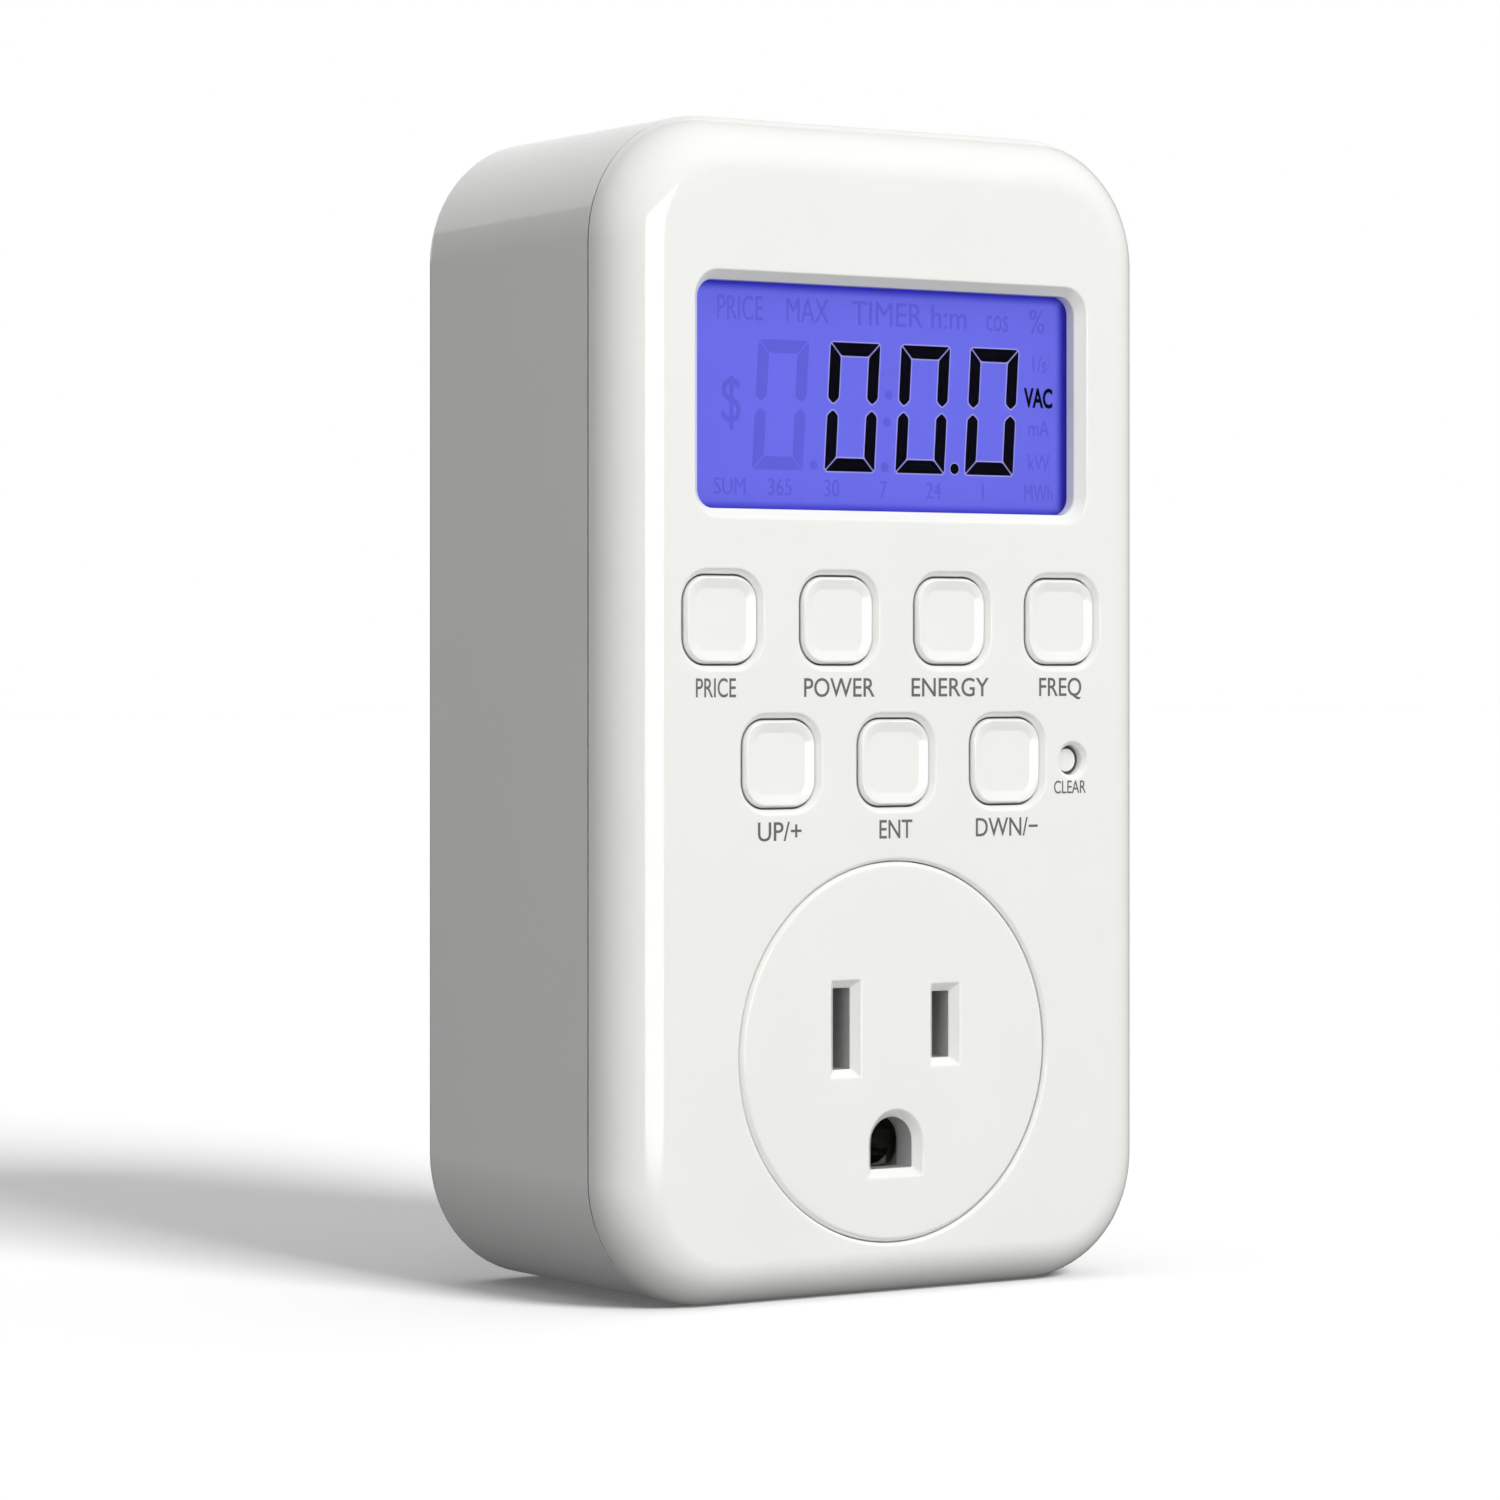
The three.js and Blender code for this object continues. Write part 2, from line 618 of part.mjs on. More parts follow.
function contactHousing() {
  const front = OUTLET_WEB + GAP;
  const { width, bottom, top, chamberFront, back } = HOUSING;
  const blockFront = OUTLET_BACK + GAP;
  const plate = rod(0, OUTLET_Y, OUTLET_POCKET - GAP, front, blockFront + OVERLAP, POCKET_ROUND);
  const block = prism(roundedBox(-width / 2, width / 2, bottom, top, 2.5, CORNER_STEPS), blockFront, back);
  const chambers = [
    ...MIRRORED.map((side) => (
      prism(box(side * BLADE_X, BLADE_Y, CHAMBER_WIDTH, CHAMBER_HEIGHT), chamberFront, back + CUT))),
    rod(0, GROUND_Y, GROUND_CHAMBER, chamberFront, back + CUT, BORE_ROUND),
  ];
  const mouths = OUTLET_MOUTHS.map((outlineAt) => prism(outlineAt(0), front - CUT, chamberFront + CUT));
  return carve([plate, block], [...chambers, ...mouths]);
}

function contactRetainer() {
  const near = HOUSING.back + GAP;
  const far = near + RETAINER_THICKNESS;
  const { width, bottom, top } = HOUSING;
  const plate = prism(roundedBox(-width / 2, width / 2, bottom, top, 2.5, CORNER_STEPS), near, far);
  const slots = MIRRORED.map((side) => prism(
    box(side * BLADE_X + TAIL_OFFSET, BLADE_Y, CONTACT_THICKNESS + 2 * FIT, CONTACT_HEIGHT + 2 * FIT),
    near - CUT,
    far + CUT,
  ));
  const groundSlot = prism(box(0, GROUND_Y - 3, 5, 1.3), near - CUT, far + CUT);
  return carve([plate], [...slots, groundSlot]);
}

// A spring fork that grips a blade: one strip bent into a U with a flared mouth, and a tail.
function bladeContact(tailEnd) {
  const half = [[1.6, 4.4], [0.95, 7], [1.45, 10.5], [1.65, 13.2]];
  const line = [...half.map(([x, depth]) => [-x, depth]), [0, 14.6], ...half.slice().reverse()];
  const fork = bentStrip(strip(line, CONTACT_THICKNESS, 14), 0, 0, CONTACT_HEIGHT);
  const tail = prism(box(TAIL_OFFSET, 0, CONTACT_THICKNESS, CONTACT_HEIGHT), 13.4, tailEnd);
  return carve([fork, tail]);
}

// A round spring sleeve for the ground pin, slit along its top, with a tail along its bottom.
function groundContact() {
  const [inner, outer, near, far] = [2.5, 3.3, 4.4, 14];
  const sleeve = rod(0, 0, outer, near, far, BORE_ROUND);
  const bore = rod(0, 0, inner, near - CUT, far + CUT, BORE_ROUND);
  const slit = prism(box(0, outer, 1, 2 * outer), near - CUT, far + CUT);
  const tail = prism(box(0, -2.95, 4, 0.7), far - 2, GROUND_TAIL_END);
  return carve([sleeve, tail], [bore, slit]);
}

addPart('outlet_face', outletFace(), WHITE_CASE);
addPart('contact_housing', contactHousing(), GREY_PLASTIC);
addPart('contact_retainer', contactRetainer(), GREY_PLASTIC);
addPart('neutral_contact', bladeContact(NEUTRAL_TAIL_END), BRASS, -BLADE_X, BLADE_Y);
addPart('hot_contact', bladeContact(HOT_TAIL_END), BRASS, BLADE_X, BLADE_Y);
addPart('ground_contact', groundContact(), BRASS, 0, GROUND_Y);

// ---------------------------------------------------------------- plug

// A flat blade, drawn in (depth, y): tapered tip, eye, shoulders behind the rear wall, and a tab.
function plugBlade(tabStart) {
  const half = BLADE_WIDTH / 2;
  const shoulder = BLADE_SHOULDER.width / 2;
  const tip = CASE_DEPTH + BLADE_LENGTH;
  const upper = [
    [tabStart, half],
    [BLADE_SHOULDER.near, half],
    [BLADE_SHOULDER.near, shoulder],
    [BLADE_SHOULDER.far, shoulder],
    [BLADE_SHOULDER.far, half],
    [tip - 2.4, half],
    [tip - 0.7, half - 0.6],
    [tip, half - 1.4],
  ];
  const shape = shapeOf([...upper, ...upper.map(([depth, y]) => [depth, -y]).reverse()]);
  const eye = new THREE.Path();
  eye.absarc(CASE_DEPTH + BLADE_EYE.distance, 0, BLADE_EYE.radius, 0, 2 * Math.PI, false);
  shape.holes.push(eye);
  const geometry = new THREE.ExtrudeGeometry(shape, {
    depth: BLADE_THICKNESS,
    bevelEnabled: false,
    curveSegments: 10,
  });
  return geometry.rotateY(Math.PI / 2).translate(-BLADE_THICKNESS / 2, 0, 0);
}

function groundPin() {
  const tip = CASE_DEPTH + PIN_LENGTH;
  return turned([
    [0, tip],
    [1.1, tip - 0.3],
    [2, tip - 1.3],
    [PIN_RADIUS, tip - 2.6],
    [PIN_RADIUS, BLADE_SHOULDER.far],
    [PIN_SHOULDER, BLADE_SHOULDER.far],
    [PIN_SHOULDER, BLADE_SHOULDER.near],
    [PIN_RADIUS, BLADE_SHOULDER.near],
    [PIN_RADIUS, PIN_START],
    [0, PIN_START],
  ], BUTTON_ROUND);
}

function bladeCarrier() {
  const { width, bottom, top, near, far } = CARRIER;
  const plate = prism(roundedBox(-width / 2, width / 2, bottom, top, 2, SMALL_CORNER_STEPS), near, far);
  const slots = MIRRORED.map((side) => prism(
    box(side * BLADE_X, BLADE_Y, BLADE_THICKNESS + 2 * FIT, BLADE_WIDTH + 2 * FIT),
    near - CUT,
    far + CUT,
  ));
  return carve([plate], [...slots, rod(0, GROUND_Y, PIN_RADIUS + FIT, near - CUT, far + CUT, BORE_ROUND)]);
}

// The measuring shunt: a strip that steps aside between the hot contact's tail and the hot blade.
function currentShunt() {
  const line = [[2.1, 19.4], [2.1, 21], [3.2, 22.4], [5.4, 22.4], [6, 23.6], [5.4, 24.9],
    [3.2, 25], [2, 25.8], [1.4, 26.6], [1.4, 27.9]];
  return bentStrip(strip(line, 0.6, 18), BLADE_X, BLADE_Y, 5);
}

addPart('neutral_blade', plugBlade(NEUTRAL_TAB_START), NICKEL, -BLADE_X, BLADE_Y);
addPart('hot_blade', plugBlade(HOT_TAB_START), NICKEL, BLADE_X, BLADE_Y);
addPart('ground_pin', groundPin(), NICKEL, 0, GROUND_Y);
addPart('blade_carrier', bladeCarrier(), NATURAL_PLASTIC);
addPart('current_shunt', currentShunt(), STEEL);

// ---------------------------------------------------------------- power board

const boardFace = POWER_BOARD.near - GAP;

function electrolyticCapacitor() {
  const [radius, length] = [4, 11.5];
  return turned([
    [0, boardFace],
    [radius, boardFace],
    [radius, boardFace - 1.2],
    [radius - 0.4, boardFace - 1.7],
    [radius, boardFace - 2.2],
    [radius, boardFace - length + 0.5],
    [radius - 0.5, boardFace - length],
    [0, boardFace - length],
  ], SMALL_ROUND);
}

// Turns a profile of [radius, x] points about an axis across the case, resting on the power board.
function onEdge(profile, radius) {
  const points = profile.map(([r, x]) => new THREE.Vector2(r, x));
  const geometry = new THREE.LatheGeometry(points, BUTTON_ROUND).rotateZ(-Math.PI / 2);
  return geometry.translate(0, 0, -(boardFace - radius));
}

// A coated disc that stands on edge, its axis across the case.
function varistor() {
  const [radius, thick] = [5.2, 3.8];
  const profile = [[0, -thick / 2], [radius - 0.8, -thick / 2], [radius, -0.8], [radius, 0.8],
    [radius - 0.8, thick / 2], [0, thick / 2]];
  return onEdge(profile, radius);
}

// Rechargeable button cells in a sleeve, lying across the board.
function backupBattery() {
  const [radius, length] = [5.8, 17];
  const profile = [[0, -length / 2], [radius - 0.6, -length / 2], [radius, -length / 2 + 0.6],
    [radius, length / 2 - 0.6], [radius - 0.6, length / 2], [0, length / 2]];
  return onEdge(profile, radius);
}

function filmCapacitor() {
  const [width, height, tall] = [18, 8.5, 12];
  const half = width / 2;
  const outline = (shrink) => roundedBox(
    -half + shrink, half - shrink, -height / 2 + shrink, height / 2 - shrink, 1 - shrink, 2);
  return loft([
    { outline: outline(0), depth: boardFace },
    { outline: outline(0), depth: boardFace - tall + 0.5 },
    { outline: outline(0.5), depth: boardFace - tall },
  ]);
}

function ribbonCable() {
  const line = [[behindDisplayBoard, 66], [13, 66], [17, 63], [20, 58], [24, 55], [boardFace, 55]];
  return sideStrip(strip(line, 0.9, 12), 0, 12);
}

// An insulated lead from a tail of the plug up to the power board.
function lead(side, startX) {
  const path = new THREE.CatmullRomCurve3([
    new THREE.Vector3(startX, BLADE_Y + 4.2, -24),
    new THREE.Vector3(startX + side * 0.6, BLADE_Y + 9, -23.6),
    new THREE.Vector3(side * 11, BLADE_Y + 14, -24.4),
    new THREE.Vector3(side * 12, BLADE_Y + 19, -27),
    new THREE.Vector3(side * 12, BLADE_Y + 20.5, -boardFace),
  ]);
  const section = new THREE.Shape(circle(0, 0, 0.8, 6));
  return new THREE.ExtrudeGeometry(section, { steps: 9, extrudePath: path });
}

addPart('power_board', board(POWER_BOARD, REAR_POST.heights.flatMap((y) => (
  MIRRORED.map((side) => [side * REAR_POST.x, y, REAR_POST.peg + GAP])))), BOARD_GREEN);
addPart('film_capacitor', filmCapacitor(), CAPACITOR_YELLOW, -13, 93);
addPart('electrolytic_capacitor', electrolyticCapacitor(), SLEEVE_BLUE, 4, 94);
addPart('varistor', varistor(), VARISTOR_BLUE, 15, 93);
addPart('metering_chip', chip(7.5, 10, 28, boardFace, -1), BLACK_PLASTIC, -14, 70);
addPart('backup_battery', backupBattery(), SLEEVE_GREEN, 10, 78);
addPart('ribbon_cable', ribbonCable(), CABLE_GREY);
addPart('neutral_lead', lead(-1, -BLADE_X), LEAD_WHITE);
addPart('hot_lead', lead(1, BLADE_X), LEAD_BLACK);

export default meter;
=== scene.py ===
"""The looks of a plug-in power meter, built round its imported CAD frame.

Shapes are drawn as the front view shows them, in millimetres: x to the right, up from the base,
and depth behind the front face. place() turns such a point into the frame's metres.
"""

import json
import math

import bmesh
import bpy
import numpy as np
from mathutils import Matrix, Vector
from mathutils.geometry import delaunay_2d_cdt


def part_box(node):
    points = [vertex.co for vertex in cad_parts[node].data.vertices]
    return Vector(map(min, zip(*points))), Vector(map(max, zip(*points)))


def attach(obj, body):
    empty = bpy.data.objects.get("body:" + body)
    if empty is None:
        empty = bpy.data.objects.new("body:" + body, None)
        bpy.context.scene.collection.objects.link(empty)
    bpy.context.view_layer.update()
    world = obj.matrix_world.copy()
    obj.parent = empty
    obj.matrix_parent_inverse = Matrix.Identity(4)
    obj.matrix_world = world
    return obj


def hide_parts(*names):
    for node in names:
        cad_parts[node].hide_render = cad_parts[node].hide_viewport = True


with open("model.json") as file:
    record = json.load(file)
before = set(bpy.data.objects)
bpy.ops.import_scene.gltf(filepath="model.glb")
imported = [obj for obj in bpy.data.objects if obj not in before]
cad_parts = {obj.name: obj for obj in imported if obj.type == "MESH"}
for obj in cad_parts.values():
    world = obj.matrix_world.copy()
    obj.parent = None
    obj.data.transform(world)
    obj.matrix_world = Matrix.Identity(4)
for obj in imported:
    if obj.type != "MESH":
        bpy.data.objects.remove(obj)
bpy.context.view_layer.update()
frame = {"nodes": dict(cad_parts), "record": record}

# ------------------------------------------------------------------ sizes, in mm

MM = 0.001
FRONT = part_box("front_cover")[0].y
CASE_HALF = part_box("front_cover")[1].x / MM
CASE_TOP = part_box("front_cover")[1].z / MM
CASE_DEPTH = (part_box("rear_housing")[1].y - FRONT) / MM

FACE = 0.04            # the front face stands this far behind the box, to leave room for the print
CORNER = 13.2
BASE_FILLET = 0.8      # the base's share of the front fillet
FRONT_EDGE = 5.85
REAR_EDGE = 1.5
TAPER = 0.5
WALL = 2.0
REAR_WALL = 2.2
TONGUE = (2.6, 3.4)    # insets of the two sides of the rear housing's tongue
TONGUE_TIP = 4.8       # depth to which it reaches forward, into the cover
TONGUE_ROOT = 8        # depth at which its inner side ends
SEAM = 5.86
SEAM_GAP = 0.27
SOFT = 0.12            # rounding of small moulded edges
CRISP = 0.05           # rounding along the seam
SHARP_ANGLE = 32       # in degrees; shading is smooth across flatter edges

BLADE_X = 6.35
BLADE_UP = 27.55
BLADE_HEIGHT = 6.35
BLADE_THICKNESS = 1.5
BLADE_LENGTH = 17.7
GROUND_UP = BLADE_UP - 11.9
PIN_RADIUS = 2.375
PIN_LENGTH = 20.6
PIN_ROOT = 22          # depth at which the ground pin starts
PLUG_CLEARANCE = 0.06
COLLAR = (33.2, 34.8)  # depths between which a blade or the pin is widened and held

OUTLET_RADIUS = 19.5
OUTLET_GAP = 0.05      # half the gap between the outlet's insert and the cover
SLOT_WIDTH = 2.15
SLOT_ROUND = 0.12
NEUTRAL_SLOT = 8.3
HOT_SLOT = 6.85
SLOT_CHAMFER = 0.85
GROUND_RADIUS = 2.65

KEY_HOLE = 9.2
KEY_CORNER = 2.8
KEY_CHAMFER = 0.55
RESET_HOLE = 1.55
RESET_CHAMFER = 0.45

WINDOW_WIDTH = 48.3
WINDOW_HEIGHT = 22.9
WINDOW_CORNER = 1.9
WINDOW_CHAMFER = 1.0
WINDOW_WALL = 2.28

SCREW_SEAT = 29.36     # depth of a case screw's head
WELL_RADIUS = 3.3
WELL_FLOOR = 29.3
SCREW_POST = 27        # depth at which the cover's screw posts end


def middle(node):
    """A CAD node's centre as (x, up), in mm."""
    low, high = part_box(node)
    centre = (low + high) / 2
    return centre.x / MM, centre.z / MM


def depth_of(node):
    """A CAD node's nearest and farthest depth behind the front face, in mm."""
    low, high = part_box(node)
    return (low.y - FRONT) / MM, (high.y - FRONT) / MM


KEY_NAMES = ("cost", "power", "energy", "frequency", "volt", "set", "amp")
KEYS = {name: middle(f"key_{name}") for name in KEY_NAMES}
RESET = middle("reset_button")
WINDOW = middle("display_window")
OUTLET = middle("outlet_face")
SCREWS = {node: middle(node) for node in frame["nodes"] if node.startswith("case_screw")}


def place(x, up, depth):
    """A point of the front view, in mm, as a point of the frame."""
    return Vector((x * MM, FRONT + depth * MM, up * MM))


def place_sideways(depth, up, x):
    """The same for a shape that is drawn from the side."""
    return place(x, up, depth)


# ------------------------------------------------------------------ outlines

def arc(x, y, radius, start, end, steps):
    angles = [math.radians(start + (end - start) * i / steps) for i in range(steps + 1)]
    return [(x + radius * math.cos(a), y + radius * math.sin(a)) for a in angles]


def circle(centre, radius, steps):
    return arc(centre[0], centre[1], radius, 0, 360, steps)[:steps]


def rounded_box(left, right, bottom, top, radius, steps):
    return [
        *arc(right - radius, bottom + radius, radius, -90, 0, steps),
        *arc(right - radius, top - radius, radius, 0, 90, steps),
        *arc(left + radius, top - radius, radius, 90, 180, steps),
        *arc(left + radius, bottom + radius, radius, 180, 270, steps),
    ]


def centred_box(centre, width, height, radius, steps):
    x, up = centre
    return rounded_box(x - width / 2, x + width / 2, up - height / 2, up + height / 2, radius, steps)


def grown(points, distance):
    """A counter-clockwise outline with each side moved outwards."""
    count = len(points)
    result = []
    for i in range(count):
        before = Vector(points[i]) - Vector(points[i - 1])
        after = Vector(points[(i + 1) % count]) - Vector(points[i])
        first = Vector((before.y, -before.x)).normalized()
        second = Vector((after.y, -after.x)).normalized()
        mitre = (first + second) / (1 + first.dot(second))
        result.append(tuple(Vector(points[i]) + mitre * distance))
    return result


def rounded(points, radius, steps=3):
    """A closed outline with its corners rounded off."""
    count = len(points)
    result = []
    for i in range(count):
        corner = Vector(points[i])
        back = Vector(points[i - 1]) - corner
        ahead = Vector(points[(i + 1) % count]) - corner
        result += bend(corner, back, ahead, radius, steps)
    return result


def bend(corner, back, ahead, radius, steps):
    """A smooth turn at a corner, from one leg to the next."""
    reach = min(radius, 0.45 * back.length, 0.45 * ahead.length)
    start = corner + back.normalized() * reach
    end = corner + ahead.normalized() * reach
    turn = []
    for i in range(steps + 1):
        t = i / steps
        turn.append(tuple(start * (1 - t) ** 2 + corner * (2 * t * (1 - t)) + end * t ** 2))
    return turn


def softened(profile, radius=SOFT, steps=3):
    """An open profile with its inner corners rounded off. Its end legs may be used up fully."""
    points = [Vector(point) for point in profile]
    legs = [after - before for before, after in zip(points, points[1:])]
    legs[0] *= 2
    legs[-1] *= 2
    result = [profile[0]]
    for corner, before, after in zip(points[1:], legs, legs[1:]):
        result += bend(corner, -before, after, radius, steps)
    return [*result, profile[-1]]


# Each outline below takes how far it grows, or how far the case's is inset, and a depth, which
# only the case's taper uses. Skin.tube() calls it once for every ring.

def case_outline(inset, depth):
    """The case's outline, which tapers towards the back."""
    taper = TAPER * max(0, (depth - FRONT_EDGE) / (CASE_DEPTH - FRONT_EDGE))
    half = CASE_HALF - inset - taper
    return rounded_box(-half, half, inset + taper, CASE_TOP - inset - taper, CORNER - inset, 16)


def cover_outline(inset, depth):
    """The cover's outer outline. Its fillet is narrower at the base, below the outlet."""
    half = CASE_HALF - inset
    return rounded_box(-half, half, inset * BASE_FILLET, CASE_TOP - inset, CORNER - inset, 16)


def window_outline(grow, depth=0):
    width, height = WINDOW_WIDTH + 2 * grow, WINDOW_HEIGHT + 2 * grow
    return centred_box(WINDOW, width, height, WINDOW_CORNER + grow, 10)


def slot_outline(x, height):
    def outline(grow, depth=0):
        corner = SLOT_ROUND + 0.1 * grow
        return centred_box((x, BLADE_UP), SLOT_WIDTH + 2 * grow, height + 2 * grow, corner, 3)
    return outline


def ground_outline(grow, depth=0):
    """The ground hole: a half circle on a square foot with slightly rounded corners."""
    reach = GROUND_RADIUS + grow
    base = [(-reach, GROUND_UP - reach), (reach, GROUND_UP - reach)]
    corners = [(-reach, GROUND_UP), *base, (reach, GROUND_UP)]
    steps = 3
    foot = rounded(corners, 0.2, steps)[steps + 1:3 * (steps + 1)]
    return [*foot, *arc(0, GROUND_UP, reach, 0, 180, 24)]


def round_outline(centre, radius, steps=48):
    def outline(grow, depth=0):
        return circle(centre, radius + grow, steps)
    return outline


def key_outline(centre):
    def outline(grow, depth=0):
        return centred_box(centre, KEY_HOLE + 2 * grow, KEY_HOLE + 2 * grow, KEY_CORNER + grow, 10)
    return outline


# ------------------------------------------------------------------ mesh building

class Skin:
    """A closed surface built from rings of points."""

    def __init__(self, place_point=place):
        self.bm = bmesh.new()
        self.place_point = place_point
        self.flat = {}

    def ring(self, outline, level):
        verts = [self.bm.verts.new(self.place_point(a, b, level)) for a, b in outline]
        self.flat.update(zip(verts, outline))
        return verts

    def bridge(self, first, second):
        count = len(first)
        for i in range(count):
            j = (i + 1) % count
            self.bm.faces.new((first[i], first[j], second[j], second[i]))

    def tube(self, outline_at, profile):
        """Joins a ring for each (grow, level) of the profile, and gives the two end rings."""
        rings = [self.ring(outline_at(grow, level), level) for grow, level in profile]
        for first, second in zip(rings, rings[1:]):
            self.bridge(first, second)
        return rings[0], rings[-1]

    def cap(self, *rings):
        for ring in rings:
            self.bm.faces.new(ring)

    def hoop(self, outline_at, outer, inner, near, far):
        """A ring of rectangular section, which follows an outline."""
        section = [(outer, near), (inner, near), (inner, far), (outer, far)]
        first, last = self.tube(outline_at, section)
        self.bridge(last, first)

    def sheet(self, outer, holes=()):
        """Fills the flat region inside the outer ring and outside the holes."""
        loops = [outer, *holes]
        verts = [v for loop in loops for v in loop]
        points = [Vector(self.flat[v]) for v in verts]
        edges, start = [], 0
        for loop in loops:
            edges += [(start + i, start + (i + 1) % len(loop)) for i in range(len(loop))]
            start += len(loop)
        found = delaunay_2d_cdt(points, edges, [], 0, 1e-6)
        source = [origins[0] for origins in found[3]]
        triangles = [[source[i] for i in face] for face in found[2]]
        centres = np.array([np.mean([points[i] for i in tri], axis=0) for tri in triangles])
        keep = inside(centres, [self.flat[v] for v in outer])
        for hole in holes:
            keep &= ~inside(centres, [self.flat[v] for v in hole])
        for triangle, kept in zip(triangles, keep):
            if kept:
                self.bm.faces.new([verts[i] for i in triangle])


def inside(points, outline):
    """Whether each point lies inside the outline, by counting crossings."""
    first = np.array(outline)
    second = np.roll(first, -1, axis=0)
    x, y = points[:, 0:1], points[:, 1:2]
    spans = (first[:, 1] > y) != (second[:, 1] > y)
    with np.errstate(divide="ignore", invalid="ignore"):
        along = (y - first[:, 1]) / (second[:, 1] - first[:, 1])
    cross = first[:, 0] + along * (second[:, 0] - first[:, 0])
    return (spans & (x < cross)).sum(axis=1) % 2 == 1


def make_object(name, bm, material, sharp=SHARP_ANGLE, weighted=True):
    """Closes a bmesh into an object with smooth shading between its real edges."""
    bmesh.ops.remove_doubles(bm, verts=bm.verts, dist=1e-7)
    bmesh.ops.recalc_face_normals(bm, faces=bm.faces)
    mesh = bpy.data.meshes.new(name)
    bm.to_mesh(mesh)
    bm.free()
    mesh.shade_smooth()
    mesh.set_sharp_from_angle(angle=math.radians(sharp))
    mesh.materials.append(material)
    piece = bpy.data.objects.new(name, mesh)
    bpy.context.scene.collection.objects.link(piece)
    if weighted:
        modifier = piece.modifiers.new("even_shading", "WEIGHTED_NORMAL")
        modifier.keep_sharp = True
    return piece


def settle(piece, body, slot, *nodes):
    """Makes a piece ride on its body and stand for its CAD nodes. Its slot is not used."""
    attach(piece, body)
    if nodes:
        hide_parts(*nodes)
    return piece


def turned(name, centre, profile, material, steps=48):
    """A closed turned piece. The profile is (radius, level), with flat ends."""
    skin = Skin()
    skin.cap(*skin.tube(round_outline(centre, 0, steps), profile))
    return make_object(name, skin.bm, material)


def prism(name, outline, near, far, material):
    skin = Skin()
    skin.cap(*skin.tube(lambda grow, level: outline, [(0, near), (0, far)]))
    return make_object(name, skin.bm, material, weighted=False)


def combine(piece, other, operation="DIFFERENCE"):
    """Cuts the other object out of the piece, or joins it on, then deletes the other object."""
    modifier = piece.modifiers.new("combine", "BOOLEAN")
    modifier.object = other
    modifier.operation = operation
    modifier.solver = "EXACT"
    graph = bpy.context.evaluated_depsgraph_get()
    mesh = bpy.data.meshes.new_from_object(piece.evaluated_get(graph))
    piece.modifiers.remove(modifier)
    piece.data = mesh
    bpy.data.objects.remove(other)


# ------------------------------------------------------------------ materials

class Nodes:
    """A short hand for a material's node tree, with coordinates in the frame's metres."""

    def __init__(self, name):
        self.material = bpy.data.materials.new(name)
        self.material.use_nodes = True
        self.tree = self.material.node_tree
        self.shader = self.tree.nodes["Principled BSDF"]
        self.where = self.add("ShaderNodeTexCoord").outputs["Object"]

    def add(self, kind, **settings):
        node = self.tree.nodes.new(kind)
        for key, value in settings.items():
            setattr(node, key, value)
        return node

    def link(self, source, target):
        self.tree.links.new(source, target)

    def noise(self, scale, detail, stretch=None):
        node = self.add("ShaderNodeTexNoise")
        node.inputs["Scale"].default_value = scale
        node.inputs["Detail"].default_value = detail
        where = self.where
        if stretch:
            mapping = self.add("ShaderNodeMapping")
            mapping.inputs["Scale"].default_value = stretch
            self.link(self.where, mapping.inputs["Vector"])
            where = mapping.outputs["Vector"]
        self.link(where, node.inputs["Vector"])
        return node.outputs["Fac"]

    def ramp(self, value, low, high):
        """Spreads a noise's middle values between two numbers."""
        node = self.add("ShaderNodeMapRange")
        node.inputs["From Min"].default_value = 0.2
        node.inputs["From Max"].default_value = 0.8
        node.inputs["To Min"].default_value = low
        node.inputs["To Max"].default_value = high
        self.link(value, node.inputs["Value"])
        return node.outputs["Result"]

    def blend(self, value, first, second):
        """A colour between two others."""
        node = self.add("ShaderNodeMix", data_type="RGBA")
        node.inputs["A"].default_value = (*first, 1)
        node.inputs["B"].default_value = (*second, 1)
        self.link(value, node.inputs["Factor"])
        return node.outputs["Result"]

    def math(self, operation, first, second=None):
        node = self.add("ShaderNodeMath", operation=operation)
        self.link(first, node.inputs[0])
        if isinstance(second, float):
            node.inputs[1].default_value = second
        elif second:
            self.link(second, node.inputs[1])
        return node.outputs["Value"]

    def shade(self, color, value, other):
        """A colour that turns into another as a value goes from 0 to 1."""
        node = self.add("ShaderNodeMix", data_type="RGBA")
        node.inputs["B"].default_value = (*other, 1)
        self.link(value, node.inputs["Factor"])
        self.link(color, node.inputs["A"])
        return node.outputs["Result"]

    def bump(self, heights):
        """Bumps from (height value, distance in mm), the coarsest first."""
        last = None
        for value, distance in heights:
            node = self.add("ShaderNodeBump")
            node.inputs["Distance"].default_value = distance * MM
            node.inputs["Strength"].default_value = 1.0
            self.link(value, node.inputs["Height"])
            if last:
                self.link(last, node.inputs["Normal"])
            last = node.outputs["Normal"]
        self.link(last, self.shader.inputs["Normal"])

    def set(self, **values):
        """Sets constants on the shader, by the names of their sockets with _ for each space."""
        for key, value in values.items():
            self.shader.inputs[key.replace("_", " ")].default_value = value


PEEL = 0.004           # height of a moulding's slow ripple, in mm
GRAIN = 0.0012         # height of its fine mould texture
SCRATCH = 0.002        # height of the lines on drawn metal


def plastic(name, light, dark, gloss=(0.24, 0.34)):
    """Moulded plastic: faint mottling, uneven gloss, a slow ripple and a fine mould texture."""
    nodes = Nodes(name)
    mottle = nodes.ramp(nodes.noise(90, 4), 0, 1)
    nodes.link(nodes.blend(mottle, light, dark), nodes.shader.inputs["Base Color"])
    smear = nodes.noise(55, 5, stretch=(1, 1, 0.45))
    nodes.link(nodes.ramp(smear, *gloss), nodes.shader.inputs["Roughness"])
    nodes.bump([(nodes.noise(260, 2), PEEL), (nodes.noise(5200, 2), GRAIN)])
    return nodes.material


